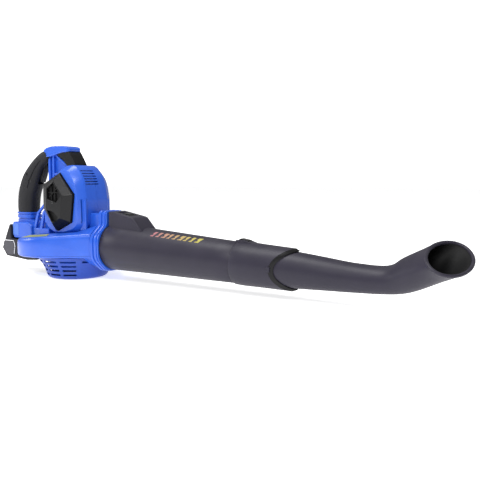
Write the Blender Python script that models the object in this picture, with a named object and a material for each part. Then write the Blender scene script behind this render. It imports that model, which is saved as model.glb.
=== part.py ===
"""Cordless leaf blower: a vertical fan in a scroll housing, a D handle, a battery and a two-piece tube.

Frame: +X along the tube, +Y to port, +Z up. The origin is the centre of the intake bowl's flat
underside, on the fan's axis. Dimensions are in millimetres, and MM turns them into metres.
"""
import math

import bmesh
import bpy
from mathutils import Matrix, Vector

MM = 0.001
GAP = 0.4
BIG = 600.0

# Looks: colour, roughness, metallic.
LOOKS = {
    "blue": ((0.045, 0.155, 0.62), 0.38, 0.0),
    "charcoal": ((0.06, 0.06, 0.075), 0.42, 0.0),
    "black": ((0.022, 0.022, 0.026), 0.3, 0.0),
    "rubber": ((0.03, 0.03, 0.034), 0.75, 0.0),
    "steel": ((0.55, 0.56, 0.58), 0.3, 1.0),
    "copper": ((0.72, 0.36, 0.18), 0.35, 1.0),
    "white": ((0.72, 0.73, 0.76), 0.4, 0.0),
    "red": ((0.6, 0.04, 0.04), 0.45, 0.0),
    "board": ((0.03, 0.22, 0.09), 0.45, 0.0),
    "sleeve": ((0.1, 0.35, 0.28), 0.4, 0.0),
}

# Intake bowl.
BOWL_WALL = [(54.0, 0.0), (60.0, 5.0), (63.0, 14.0), (68.0, 25.0), (74.0, 34.0), (78.0, 44.6)]
BOWL_THICK = 3.0
SLOT_ROWS = (9.0, 18.0, 27.0, 36.0)
SLOT_HEIGHT = 3.6
SLOT_COLUMNS = 9
SLOT_PITCH = math.radians(30.5)
SLOT_WIDTH = math.radians(25.0)

# Scroll housing.
FLOOR = 45.0
SPLIT = 63.0
WALL = 3.0
TOP_REAR, TOP_SLOPE, REAR_X = 81.0, 0.0842, -118.0
OUTLET_X = 84.0
OUTLET_HALF = 46.0
HORN_REAR = 30.0
SPIRAL_START, SPIRAL_END = math.radians(40), math.radians(225)
SPIRAL_SMALL, SPIRAL_LARGE = 84.0, 116.0
INLET_R = 50.0
MOTOR_HOLE_R = 27.5

# Outlet collar and its ribs.
COLLAR_X = (84.4, 106.0)
COLLAR_BORE = 45.4
HUMP_HALF = 23.0
HUMP_TOP = 136.0

# Tube, along its own falling axis.
ROOT = Vector((106.4, 0.0, 66.5))
TILT = math.radians(2.3)
TUBE_R_ROOT, TUBE_R_END = 45.6, 35.6
TUBE_LENGTH = 286.0
TUBE_WALL = 2.0
SLEEVE_END = 398.0
SPIGOT = 18.0

# Motor housing.
DRUM_X, DRUM_Z = -6.0, 153.0
DRUM_A, DRUM_B, DRUM_POWER = 71.0, 73.0, 2.3
RIM_HALF, SEAT_HALF, SEAT_SCALE = 30.0, 44.0, 0.85
SHELL = 3.5
COVER_HEX = [(4, 207), (40, 168), (34, 116), (-6, 96), (-41, 139), (-40, 187)]
COVER_OUT = 62.0
GRIP_HALF = 19.0
WEB_HALF = 12.0
DOCK_HALF = 33.0

# Grip screws and power leads, as (x, z).
GRIP_SCREWS = [(-93, 242), (-125, 208), (-119, 193)]
LEAD_ROUTE = [(-144, 79.6), (-145, 110), (-144, 140), (-140, 165), (-131, 185), (-117, 211.5)]
LEAD_R = 1.3

# Battery.
BATTERY_HALF = 38.0
BATTERY_OUTLINE = [
    (-82, 30), (-82, 70), (-160.6, 70), (-160.6, 100), (-164, 102.5), (-177, 78), (-191, 50),
    (-177, 33.5), (-111, 28),
]
BATTERY_SPLIT = 52.2
BATTERY_WALL = 1.8
BAY_TOP = 72.0
CELL_R, CELL_HALF = 8.7, 32.5
CELL_ROWS = (41.75, 59.4)
CELL_FIRST_X, CELL_PITCH, CELL_COUNT = -93.6, 18.0, 4

# Fan and motor.
SHAFT_R = 3.0
BEARING_BORE, BEARING_R = 3.35, 8.0
FAN_R, FAN_BLADES = 70.0, 9


def material(look):
    """The Principled material of a look, made once."""
    found = bpy.data.materials.get(look)
    if found:
        return found
    colour, roughness, metallic = LOOKS[look]
    made = bpy.data.materials.new(look)
    made.use_nodes = True
    shader = made.node_tree.nodes["Principled BSDF"]
    shader.inputs["Base Color"].default_value = (*colour, 1.0)
    shader.inputs["Roughness"].default_value = roughness
    shader.inputs["Metallic"].default_value = metallic
    made.diffuse_color = (*colour, 1.0)
    return made


def add(name, bm, look, parent=None):
    """Link a bmesh, drawn in millimetres, as a named object in metres."""
    bmesh.ops.recalc_face_normals(bm, faces=bm.faces)
    bmesh.ops.scale(bm, vec=(MM, MM, MM), verts=bm.verts)
    mesh = bpy.data.meshes.new(name)
    bm.to_mesh(mesh)
    bm.free()
    mesh.materials.append(material(look))
    mesh.shade_smooth()
    mesh.set_sharp_from_angle(angle=math.radians(32))
    obj = bpy.data.objects.new(name, mesh)
    bpy.context.scene.collection.objects.link(obj)
    obj.parent = parent
    return obj


def tool(name, bm, parent=None):
    """A hidden solid that Booleans use."""
    obj = add(name, bm, "white", parent)
    obj.hide_render = True
    obj.display_type = "WIRE"
    return obj


def boolean(obj, other, operation="DIFFERENCE"):
    """Add one exact Boolean to an object."""
    modifier = obj.modifiers.new(operation.title() + "_" + other.name, "BOOLEAN")
    modifier.operation = operation
    modifier.object = other
    modifier.solver = "EXACT"


def soften(obj, width, segments=2, limit=35):
    """Round an object's sharp edges."""
    modifier = obj.modifiers.new("Bevel", "BEVEL")
    modifier.width = width * MM
    modifier.segments = segments
    modifier.limit_method = "ANGLE"
    modifier.angle_limit = math.radians(limit)


def at(axis, across, up, along):
    """Point of a 2-D outline (across, up), at a place along an axis."""
    if axis == "X":
        return Vector((along, across, up))
    if axis == "Y":
        return Vector((across, along, up))
    return Vector((across, up, along))


def loft(rings, closed=False):
    """Skin through rings of equal counts, with its ends capped, or joined when closed."""
    bm = bmesh.new()
    rows = [[bm.verts.new(point) for point in ring] for ring in rings]
    count = len(rows[0])
    pairs = list(zip(rows, rows[1:]))
    if closed:
        pairs.append((rows[-1], rows[0]))
    for first, second in pairs:
        for i in range(count):
            j = (i + 1) % count
            bm.faces.new((first[i], first[j], second[j], second[i]))
    if not closed:
        bm.faces.new(rows[0][::-1])
        bm.faces.new(rows[-1])
    return bm


def prism(outline, low, high, axis):
    """Outline pushed from low to high along an axis."""
    return loft([[at(axis, a, b, along) for a, b in outline] for along in (low, high)])


def box(low, high):
    """Box between two corners."""
    outline = [(low[0], low[1]), (high[0], low[1]), (high[0], high[1]), (low[0], high[1])]
    return prism(outline, low[2], high[2], "Z")


def merged(meshes):
    """One bmesh of several separate solids."""
    whole = bmesh.new()
    for bm in meshes:
        piece = bpy.data.meshes.new("piece")
        bm.to_mesh(piece)
        bm.free()
        whole.from_mesh(piece)
        bpy.data.meshes.remove(piece)
    return whole


def turned(profile, centre, axis="Z", steps=24):
    """Ring or solid turned from (radius, height) points; a profile that ends on the axis is solid."""
    on_axis = profile[0][0] < 1e-6
    rings = []
    for radius, height in profile:
        turns = [2 * math.pi * i / steps for i in range(steps)]
        rings.append([at(axis, max(radius, 0) * math.cos(t), radius * math.sin(t), height) for t in turns])
    if on_axis:
        bm = loft(rings[1:-1])
    else:
        bm = loft(rings, closed=True)
    bmesh.ops.translate(bm, vec=centre, verts=bm.verts)
    return bm


def rod(radius, low, high, centre, axis="Z", steps=20):
    """Plain cylinder between two places along an axis."""
    return turned([(0, low), (radius, low), (radius, high), (0, high)], centre, axis, steps)


def ring(inner, outer, low, high, centre, axis="Z", steps=20):
    """Plain ring between two places along an axis."""
    return turned([(inner, low), (outer, low), (outer, high), (inner, high)], centre, axis, steps)


def inset(outline, distance):
    """Outline moved inwards by a distance, corner by corner, whichever way round it runs."""
    area = sum(a[0] * b[1] - b[0] * a[1] for a, b in zip(outline, outline[1:] + outline[:1]))
    side = 1 if area > 0 else -1
    moved = []
    for i, point in enumerate(outline):
        here = Vector(point)
        before = (here - Vector(outline[i - 1])).normalized()
        after = (Vector(outline[(i + 1) % len(outline)]) - here).normalized()
        normals = [Vector((-d.y, d.x)) * side for d in (before, after)]
        middle = (normals[0] + normals[1]).normalized()
        moved.append(here + middle * distance / max(middle.dot(normals[0]), 0.4))
    return [(p.x, p.y) for p in moved]


def scaled(outline, factor, centre):
    """Outline scaled about a centre."""
    return [(centre[0] + (a - centre[0]) * factor, centre[1] + (b - centre[1]) * factor) for a, b in outline]


def half_space(name, side):
    """Everything beyond the middle plane on the other side."""
    low, high = ((-BIG, -BIG), (BIG, 0.2)) if side > 0 else ((-BIG, -0.2), (BIG, BIG))
    return tool(name, box((*low, -BIG), (*high, BIG)))


def scroll_top(x):
    """Height of the sloping roof of the scroll."""
    return TOP_REAR + (x - REAR_X) * TOP_SLOPE


def scroll_outline():
    """Plan of the scroll: a growing spiral, a rounded turn and a straight wall to the outlet."""
    points = [(OUTLET_X, OUTLET_HALF)]
    for i in range(14):
        share = i / 13
        angle = SPIRAL_START + share * (SPIRAL_END - SPIRAL_START)
        radius = SPIRAL_SMALL + share * (SPIRAL_LARGE - SPIRAL_SMALL)
        points.append((radius * math.cos(angle), radius * math.sin(angle)))
    start, pull_a, pull_b, end = Vector(points[-1]), Vector((-62, -102)), Vector((-16, -106)), Vector((10, -90.5))
    for t in (0.2, 0.4, 0.6, 0.8, 1.0):
        u = 1 - t
        p = start * u**3 + pull_a * 3 * u * u * t + pull_b * 3 * u * t * t + end * t**3
        points.append((p.x, p.y))
    points.append((OUTLET_X, -OUTLET_HALF))
    return points


def scroll_solid(shrink, floor, drop):
    """Prism of the scroll's plan under its sloping roof."""
    outline = inset(scroll_outline(), shrink) if shrink else scroll_outline()
    low = [Vector((x, y, floor)) for x, y in outline]
    high = [Vector((x, y, scroll_top(x) - drop)) for x, y in outline]
    return loft([low, high])


def octagon(low_half, half, high_half, bottom, low_side, high_side, top):
    """Outline of the outlet across the flow, as (y, z)."""
    right = [(low_half, bottom), (half, low_side), (half, high_side), (high_half, top)]
    return right + [(-y, z) for y, z in reversed(right)]


def horn(shrink, front_extra=0.0):
    """Duct that grows from the scroll to the outlet, and may run straight on past it."""
    back = octagon(40 - shrink, 56 - shrink, 45 - shrink, 47 + shrink, 55 + shrink, 85 - shrink, 91 - shrink)
    mouth = octagon(20 - shrink / 2, 47 - shrink, 24 - shrink / 2, 20.5 + shrink, 45, 90, 110 - shrink)
    stations = [(back, HORN_REAR), (mouth, OUTLET_X)]
    if front_extra:
        stations.append((mouth, OUTLET_X + front_extra))
    return loft([[at("X", y, z, x) for y, z in outline] for outline, x in stations])


def make_scroll():
    """Lower and upper shell of the fan's scroll, with the outlet duct and the battery bay."""
    cavity = tool("scroll_cavity", scroll_solid(WALL, FLOOR + WALL, WALL))
    boolean(cavity, tool("bay_block", box((-BIG, -43, 0), (-77, 43, BAY_TOP + WALL))))
    duct = tool("duct", horn(0))
    duct_cavity = tool("duct_cavity", horn(WALL, 4))
    bay = tool("battery_bay", box((-BIG, -BATTERY_HALF - 1, 0), (-81, BATTERY_HALF + 1, BAY_TOP)))
    centre = Vector((0, 0, 0))
    inlet = tool("inlet", rod(INLET_R, FLOOR - 2, FLOOR + 5, centre, steps=32))
    motor_hole = tool("motor_hole", rod(MOTOR_HOLE_R, 80, 110, centre, steps=24))
    keep = {
        "volute_lower": box((-BIG, -BIG, SPLIT - GAP / 2), (BIG, BIG, BIG)),
        "volute_upper": box((-BIG, -BIG, -BIG), (BIG, BIG, SPLIT + GAP / 2)),
    }
    for name, away in keep.items():
        shell = add(name, scroll_solid(0, FLOOR, 0), "blue")
        boolean(shell, duct, "UNION")
        for other in (cavity, duct_cavity, bay, inlet, motor_hole):
            boolean(shell, other)
        boolean(shell, tool("split_" + name, away))


def make_bowl():
    """Round intake bowl with its columns of slots, clear of the outlet duct and the battery."""
    inner = [(r - BOWL_THICK, max(z, BOWL_THICK)) for r, z in reversed(BOWL_WALL)]
    inner[0] = (BOWL_WALL[-1][0] - BOWL_THICK, BOWL_WALL[-1][1])
    profile = [(0, 0)] + BOWL_WALL + inner + [(0, BOWL_THICK)]
    bowl = add("intake_grille", turned(profile, Vector((0, 0, 0)), steps=36), "blue")
    slots = []
    for column in range(SLOT_COLUMNS):
        middle = math.pi + (column - SLOT_COLUMNS // 2) * SLOT_PITCH
        angles = [middle + SLOT_WIDTH * (share - 0.5) for share in (0, 0.33, 0.67, 1)]
        for height in SLOT_ROWS:
            arc = [(90 * math.cos(a), 90 * math.sin(a)) for a in angles]
            back = [(45 * math.cos(a), 45 * math.sin(a)) for a in reversed(angles)]
            slots.append(prism(arc + back, height - SLOT_HEIGHT / 2, height + SLOT_HEIGHT / 2, "Z"))
    boolean(bowl, tool("slots", merged(slots)))
    boolean(bowl, tool("duct_room", horn(-GAP, 10)))


def collar_outline(grow):
    """Outline of the collar, which follows the tube and its hump, as (y, z)."""
    right = [
        (21, 19.5 - grow), (48 + grow, 44), (48 + grow, 89), (HUMP_HALF + grow, 110),
        (HUMP_HALF + grow, HUMP_TOP - 3), (HUMP_HALF - 3, HUMP_TOP + grow),
    ]
    return right + [(-y, z) for y, z in reversed(right)]


def make_collar(axis):
    """Outlet collar: two rounded beads round the socket that takes the tube."""
    rear, front = COLLAR_X
    stations = [(rear, -1.5), (rear + 2, 0.5), (rear + 7, 0.5), (rear + 9, -1.5), (rear + 11, -1.5),
                (rear + 13, 0.5), (front - 2, 0.5), (front, -1.0)]
    collar = add("outlet_collar", loft(
        [[at("X", y, z, x) for y, z in collar_outline(grow)] for x, grow in stations]), "blue")
    boolean(collar, tool("collar_bore", rod(COLLAR_BORE, -60, 60, Vector((0, 0, 0)), "X", 36), axis))
    boolean(collar, tool("collar_hollow", box((rear - 5, -17, 100), (front - 4, 17, HUMP_TOP - 5))))
    return collar


def drum_section(scale, y):
    """Rounded outline of the motor housing at a distance from the middle plane."""
    points = []
    for i in range(32):
        angle = 2 * math.pi * i / 32
        c, s = math.cos(angle), math.sin(angle)
        a = DRUM_A * math.copysign(abs(c) ** (2 / DRUM_POWER), c)
        b = DRUM_B * math.copysign(abs(s) ** (2 / DRUM_POWER), s)
        points.append(Vector((DRUM_X + a * scale, y, DRUM_Z + b * scale)))
    return points


def drum(shrink, reach):
    """Motor housing, a fat disc with bevelled sides and a narrowed rear."""
    inner = 1 - shrink / DRUM_A
    bm = loft([
        drum_section(SEAT_SCALE * inner, -reach), drum_section(inner, -RIM_HALF + shrink / 2),
        drum_section(inner, RIM_HALF - shrink / 2), drum_section(SEAT_SCALE * inner, reach)])
    for side in (-1, 1):
        normal = Vector((-0.69, 0.72 * side, 0)).normalized()
        origin = Vector((-46, SEAT_HALF * side, 0)) - normal * shrink
        geometry = bm.verts[:] + bm.edges[:] + bm.faces[:]
        bmesh.ops.bisect_plane(bm, geom=geometry, plane_co=origin, plane_no=normal, clear_outer=True)
        bmesh.ops.holes_fill(bm, edges=[e for e in bm.edges if e.is_boundary])
    return bm


SADDLE = [(-90, 241), (-87, 254), (-67, 262), (-50, 264), (-17, 264), (2, 261), (14, 252), (10, 249),
          (-20, 249), (-41, 246), (-62, 241)]
STRUT = [(-68, 185), (-66, 243), (-44, 248), (-12, 224), (-10, 200), (-50, 170)]
WEB = [(-98, 100), (-84, 135), (-60, 150), (-40, 130), (-40, 100)]
NECK = [(-165, 100), (-168, 127), (-122, 127), (-118, 100)]
PLATFORM = [(-152, 84), (-152, 110), (-80, 110), (-56, 96), (-50, 84)]
DOCK = [(-156, 72.4), (-160, 80), (-160, 106), (-112, 106), (-100, 100), (-100, 72.4)]
GRIP = [(-168, 127.5), (-169, 141), (-167, 163), (-160, 186), (-149, 206), (-130, 225), (-109, 241),
        (-87.5, 253.4), (-90.6, 240.4), (-67, 240), (-69, 228), (-84, 223), (-96, 208), (-104, 191),
        (-110, 178), (-117, 163), (-121, 142), (-122, 127.5)]
FRONT_GRIP = [(-36, 245.8), (-19, 248.4), (9, 248.4), (14, 251.4), (34, 230), (30, 205), (-8, 205), (-8, 226)]


def make_housing():
    """Motor housing, platform, neck, strut and saddle, as a left and a right shell."""
    pieces = [("platform", PLATFORM, 19), ("dock", DOCK, DOCK_HALF), ("neck", NECK, GRIP_HALF),
              ("web", WEB, WEB_HALF), ("strut", STRUT, WEB_HALF), ("saddle", SADDLE, 18)]
    parts = [tool(name, prism(outline, -half, half, "Y")) for name, outline, half in pieces]
    soften(parts[2], 7)
    soften(parts[5], 5)
    parts.append(tool("latch_block", box((50, -20, 100), (84, 20, 131))))
    hollow = tool("motor_room", drum(SHELL, SEAT_HALF - SHELL))
    rooms = [tool("neck_room", box((-154, -14, 74), (-134, 14, 135))),
             tool("dock_room", box((-153, -28, 60), (-104, 28, 82))),
             tool("saddle_room", box((-62, -10, 238), (-42, 10, 260.5))),
             tool("speed_button_hole", box((-57.6, -7.6, 255), (-46.4, 7.6, 275))),
             tool("shaft_room", box((-26, -26, 80), (26, 26, 98)))]
    scroll = tool("scroll_room", scroll_solid(-GAP, FLOOR - 10, -GAP))
    duct = tool("duct_top", horn(-GAP, 4))
    for name, side in (("housing_left", 1), ("housing_right", -1)):
        shell = add(name, drum(0, SEAT_HALF), "blue")
        for part in parts:
            boolean(shell, part, "UNION")
        for other in [hollow, *rooms, scroll, duct]:
            boolean(shell, other)
        boolean(shell, half_space("half_of_" + name, side))


def make_grips():
    """Rubber rear grip in two halves, and the black front leg of the handle."""
    inner = tool("grip_room", prism(inset(GRIP, 4), -14, 14, "Y"))
    foot = tool("grip_foot", box((-154, -10, 120), (-134, 10, 140)))
    slot = tool("trigger_slot", box((-112, -6.8, 186), (-60, 6.8, 239)))
    for name, side in (("rear_grip_left", 1), ("rear_grip_right", -1)):
        grip = add(name, prism(GRIP, -GRIP_HALF, GRIP_HALF, "Y"), "rubber")
        soften(grip, 8)
        for other in (inner, foot, slot, half_space("half_of_" + name, side)):
            boolean(grip, other)
    leg = add("front_grip", prism(FRONT_GRIP, -16, 16, "Y"), "black")
    soften(leg, 3)
    boolean(leg, tool("leg_foot", drum(-GAP, SEAT_HALF + GAP)))
    boolean(leg, tool("leg_strut", prism(inset(STRUT, -GAP), -WEB_HALF - GAP, WEB_HALF + GAP, "Y")))


def make_covers():
    """Faceted six-sided cover on each side of the motor housing."""
    centre = (-2, 152)
    for name, side in (("side_cover_left", 1), ("side_cover_right", -1)):
        layers = [(SEAT_HALF + GAP, 1.0), (50, 0.98), (COVER_OUT, 0.5)]
        rings = [[at("Y", x, z, y * side) for x, z in scaled(COVER_HEX, size, centre)] for y, size in layers]
        cover = add(name, loft(rings), "black")
        layers = [(SEAT_HALF - 4, 0.93), (48, 0.92), (COVER_OUT - 3, 0.46)]
        rings = [[at("Y", x, z, y * side) for x, z in scaled(COVER_HEX, size, centre)] for y, size in layers]
        boolean(cover, tool(name + "_room", loft(rings)))


def tube_ring(along, radius, steps=28):
    """Circle across the tube's own axis."""
    turns = [2 * math.pi * i / steps for i in range(steps)]
    return [Vector((along, radius * math.cos(t), radius * math.sin(t))) for t in turns]


def make_tube(axis):
    """Main tube with its spigot, latch hump and front sleeve."""
    end = TUBE_LENGTH
    outer = [(-SPIGOT, 44.6), (2.2, 44.8), (2.4, TUBE_R_ROOT), (end * 0.5, 40.4), (end, TUBE_R_END), (end + 18, 37.4),
             (SLEEVE_END, 34.0)]
    inner = [(SLEEVE_END, 31.0), (end + 20, 32.0), (end, TUBE_R_END - TUBE_WALL), (end * 0.5, 38.4),
             (0, 43.2), (-SPIGOT, 42.6)]
    rings = [tube_ring(s, r) for s, r in outer + inner]
    tube = add("main_tube", loft(rings, closed=True), "charcoal", axis)
    hump = [(0.6, 30), (0.6, 69.4), (57, 61.6), (62, 60.6), (84, 38), (84, 30)]
    body = tool("hump", prism(hump, -HUMP_HALF + 1, HUMP_HALF - 1, "Y"), axis)
    soften(body, 2.5)
    boolean(tube, body, "UNION")
    lock = tool("lock_bump", box((end - 4, -9, 30), (end + 24, 9, 42.4)), axis)
    soften(lock, 1.5)
    boolean(tube, lock, "UNION")
    boolean(tube, tool("release_hole", box((end, -6.4, 38.8), (end + 20.4, 6.4, 60)), axis))
    release = add("nozzle_release_button", box((end + 0.4, -6, 40.4), (end + 20, 6, 43.8)), "black", axis)
    soften(release, 0.8)
    boolean(tube, tool("hump_room", box((8, -17, 44), (52, 17, 58.5)), axis))
    boolean(tube, tool("button_hole", box((19.6, -7.4, 55), (44.4, 7.4, 75)), axis))
    boolean(tube, tool("tube_room", loft([tube_ring(s, r) for s, r in
                                          [(-40, 42.6), (0, 43.2), (end * 0.5, 38.4), (end, 33.6)]]), axis))
    button = add("tube_latch_button", box((20, -7, 52), (44, 7, 67.2)), "black", axis)
    soften(button, 1.5)
    spring("tube_latch_spring", Vector((32, 0, 44.3)), 4.5, 7.2, "steel", axis)
    ring_seal = ring(42.6, 44.2, -SPIGOT - 1.6, -SPIGOT - 0.4, Vector((0, 0, 0)), "X", 28)
    add("tube_seal", ring_seal, "rubber", axis)


def spring(name, foot, radius, height, look, parent=None, turns=2.5):
    """Flat coil standing on its foot along Z."""
    steps, sides, wire = 10, 5, 0.5
    rings = []
    for i in range(int(turns * steps) + 1):
        angle = 2 * math.pi * i / steps
        out = Vector((math.cos(angle), math.sin(angle), 0))
        middle = foot + out * radius + Vector((0, 0, wire + (height - 2 * wire) * i / (turns * steps)))
        turn = [2 * math.pi * k / sides for k in range(sides)]
        rings.append([middle + out * wire * math.cos(t) + Vector((0, 0, wire * math.sin(t))) for t in turn])
    return add(name, loft(rings), look, parent)


NOZZLE_TURN = math.radians(15)
NOZZLE_PATH = [
    # along, rise, half width, half height, lean of the section from square
    (SLEEVE_END - 24, 0, 30.4, 30.4, 0), (SLEEVE_END + 4, 0, 30.0, 30.0, 0), (440, 0, 28.2, 28.2, 0),
    (490, 1.0, 25.6, 26.0, 2), (535, 3.5, 24.4, 24.0, 6), (560, 7.5, 26.0, 23.0, 14),
    (588, 16, 31.0, 22.6, 26), (612, 28, 40.0, 26.0, 42), (636, 45, 52.0, 36.5, 62),
]


def nozzle_rings(shrink):
    """Sections of the nozzle, from its spigot to its wide mouth."""
    rings = []
    for along, rise, width, height, lean in NOZZLE_PATH:
        ring_points = []
        for i in range(28):
            t = 2 * math.pi * i / 28
            across, up = (width - shrink) * math.cos(t), (height - shrink) * math.sin(t)
            tilt = math.radians(lean)
            point = Vector((along - up * math.sin(tilt), across, rise + up * math.cos(tilt)))
            ring_points.append(Matrix.Rotation(NOZZLE_TURN, 4, "X") @ point)
        rings.append(ring_points)
    return rings


def make_nozzle(axis):
    """Curved nozzle that flares into a wide oval mouth."""
    rings = nozzle_rings(0) + nozzle_rings(2.4)[::-1]
    add("nozzle", loft(rings, closed=True), "charcoal", axis)


def make_fan():
    """Impeller, rotor and nut that turn together, and the motor round them."""
    centre = Vector((0, 0, 0))
    hub = [(0, 57), (12, 57), (12, 73), (FAN_R, 75), (FAN_R, 77), (0, 77)]
    impeller = add("impeller", turned(hub, centre, steps=30), "black")
    blades = []
    for i in range(FAN_BLADES):
        outline = [(20, -1), (44, 6), (66, 18), (65, 20.2), (43, 8.4), (20, 1.4)]
        blade = prism(outline, 52, 75.5, "Z")
        bmesh.ops.rotate(blade, verts=blade.verts, cent=centre,
                         matrix=Matrix.Rotation(2 * math.pi * i / FAN_BLADES, 3, "Z"))
        blades.append(blade)
    boolean(impeller, tool("blades", merged(blades)), "UNION")
    boolean(impeller, tool("hub_bore", rod(SHAFT_R + GAP, 40, 90, centre, steps=12)))
    shaft = [(0, 50.4), (SHAFT_R, 50.4), (SHAFT_R, 110), (14, 110), (14, 138), (SHAFT_R, 138), (SHAFT_R, 157), (0, 157)]
    add("rotor", turned(shaft, centre, steps=16), "steel")
    add("impeller_nut", ring(SHAFT_R + 1, 8, 51, 56.6, centre, steps=6), "steel")
    can = [(21.6, 98.2), (24, 98.2), (24, 152), (8.4, 152), (8.4, 149), (21.6, 149)]
    add("motor_can", turned(can, centre, steps=24), "steel")
    add("stator", ring(14.8, 21.2, 108, 140, centre, steps=24), "copper")
    add("motor_plate", ring(8.4, 25.4, 95.2, 97.8, centre, steps=24), "steel")
    add("bearing_lower", ring(BEARING_BORE, BEARING_R, 94.4, 99.4, centre), "steel")
    add("bearing_upper", ring(BEARING_BORE, BEARING_R, 147, 152, centre), "steel")


def make_controls():
    """Trigger with its pin and spring, the speed button and the electronics."""
    pin = Vector((-92, 0, 229))
    lever = [(-98, 226), (-95, 233), (-88, 234), (-84.5, 228), (-85, 214), (-86.5, 201), (-90, 190),
             (-96, 187.5), (-101, 191), (-99.5, 205), (-98.4, 218)]
    pivot = bpy.data.objects.new("trigger_pivot", None)
    pivot.location = pin * MM
    bpy.context.scene.collection.objects.link(pivot)
    outline = [(x - pin.x, z - pin.z) for x, z in lever]
    trigger = add("trigger", prism(outline, -6, 6, "Y"), "black", pivot)
    soften(trigger, 1.5, 2)
    boolean(trigger, tool("pin_bore", rod(2.4, -12, 12, Vector((0, 0, 0)), "Y", 12), pivot))
    add("trigger_pin", rod(2.0, -12.8, 12.8, pin, "Y", 12), "steel")
    add("trigger_spring", ring(2.6, 4.2, 7.2, 10.6, pin, "Y", 16), "steel")
    add("switch_body", box((-122, -9, 212), (-110, 9, 226)), "black")
    button = add("speed_button", box((-57, -7, 253), (-47, 7, 265.2)), "black")
    soften(button, 1)
    spring("speed_spring", Vector((-52, 0, 243)), 3.5, 9.6, "steel", turns=3.5)
    add("circuit_board", box((-42, -24, 164), (32, 24, 165.8)), "board")


def latch_outline(half, deep, proud):
    """Outline of the release button on the battery's sloping rear face, as (x, z)."""
    high, low = Vector(BATTERY_OUTLINE[4]), Vector(BATTERY_OUTLINE[5])
    middle, along = (high + low) / 2, (low - high).normalized()
    out = Vector((along.y, -along.x))
    corners = ((-half, deep), (half, deep), (half, proud), (-half, proud))
    return [tuple(middle + along * a + out * b) for a, b in corners]


def make_battery():
    """Battery: two case halves, eight cells, contacts and its release button."""
    outline = BATTERY_OUTLINE
    room = inset(outline, BATTERY_WALL)
    halves = {"battery_case_lower": box((-BIG, -BIG, BATTERY_SPLIT - GAP / 2), (BIG, BIG, BIG)),
              "battery_case_upper": box((-BIG, -BIG, -BIG), (BIG, BIG, BATTERY_SPLIT + GAP / 2))}
    for name, away in halves.items():
        case = add(name, prism(outline, -BATTERY_HALF, BATTERY_HALF, "Y"), "charcoal")
        soften(case, 5, 2)
        reach = BATTERY_HALF - BATTERY_WALL
        boolean(case, tool(name + "_room", prism(room, -reach, reach, "Y")))
        boolean(case, tool(name + "_away", away))
        if name.endswith("upper"):
            hole = prism(latch_outline(8.4, -12, 12), -11.4, 11.4, "Y")
            boolean(case, tool("latch_hole", hole))
    for row, height in enumerate(CELL_ROWS):
        for column in range(CELL_COUNT):
            middle = Vector((CELL_FIRST_X - column * CELL_PITCH, 0, height))
            name = f"cell_{row * CELL_COUNT + column + 1}"
            add(name, rod(CELL_R, -CELL_HALF, CELL_HALF, middle, "Y", 12), "sleeve")
    latch = add("battery_latch_button", prism(latch_outline(8, -4, 1.6), -11, 11, "Y"), "black")
    soften(latch, 0.8)
    add("battery_board", box((-170, -26, 52), (-168.4, 26, 66)), "board")
    add("battery_contacts", box((-152, -16, 70.4), (-110, 16, 71.4)), "steel")
    add("terminal_block", box((-150, -18, 73), (-112, 18, 79)), "black")


def lead(name, side, look):
    """Insulated wire from the terminal block to the switch, inside the handle."""
    steps = 6
    rings = []
    for x, z in LEAD_ROUTE:
        turns = [2 * math.pi * k / steps for k in range(steps)]
        rings.append([Vector((x + LEAD_R * math.cos(t), side * 4 + LEAD_R * math.sin(t), z)) for t in turns])
    add(name, loft(rings), look)


def make_screws():
    """Screws that close the grip, with their holes, and one that holds each side cover."""
    for number, (x, z) in enumerate(GRIP_SCREWS, 1):
        centre = Vector((x, 0, z))
        stepped = [(0, -30), (3.4, -30), (3.4, -14.6), (1.9, -14.6), (1.9, 12.4), (0, 12.4)]
        hole = tool(f"screw_hole_{number}", turned(stepped, centre, "Y", 12))
        for side in ("right", "left"):
            boolean(bpy.data.objects["rear_grip_" + side], hole)
        profile = [(0, -17.0), (2.9, -17.0), (2.9, -15.0), (1.5, -15.0), (1.5, 12.0), (0, 12.0)]
        add(f"grip_screw_{number}", turned(profile, centre, "Y", 12), "steel")
    for name, side in (("left", 1), ("right", -1)):
        centre = Vector((-2, 0, 152))
        hole = tool("cover_screw_hole_" + name, rod(3.2, COVER_OUT * side, 40 * side, centre, "Y", 14))
        boolean(bpy.data.objects["side_cover_" + name], hole)
        ends = sorted((46 * side, (COVER_OUT - 1.2) * side))
        add("cover_screw_" + name, rod(2.8, *ends, centre, "Y", 12), "steel")


def clear():
    """Remove what the file holds."""
    for obj in list(bpy.data.objects):
        bpy.data.objects.remove(obj, do_unlink=True)


def main():
    """Build every piece at rest."""
    clear()
    axis = bpy.data.objects.new("tube_axis", None)
    axis.location = ROOT * MM
    axis.rotation_euler = (0, TILT, 0)
    bpy.context.scene.collection.objects.link(axis)
    make_bowl()
    make_scroll()
    make_collar(axis)
    make_housing()
    make_grips()
    make_covers()
    make_tube(axis)
    make_nozzle(axis)
    make_fan()
    make_controls()
    make_battery()
    lead("power_lead_red", 1, "red")
    lead("power_lead_black", -1, "black")
    make_screws()


main()
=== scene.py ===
"""Cordless leaf blower: the visual model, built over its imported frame.

Sizes in the classes are millimetres; meshes are metres. +X is forward along the tube, +Y is port, +Z is up.
"""

import logging
import math
from dataclasses import dataclass
from enum import Enum
from typing import Callable, Iterable, Sequence

import bmesh
import bpy
from mathutils import Matrix, Vector

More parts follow.
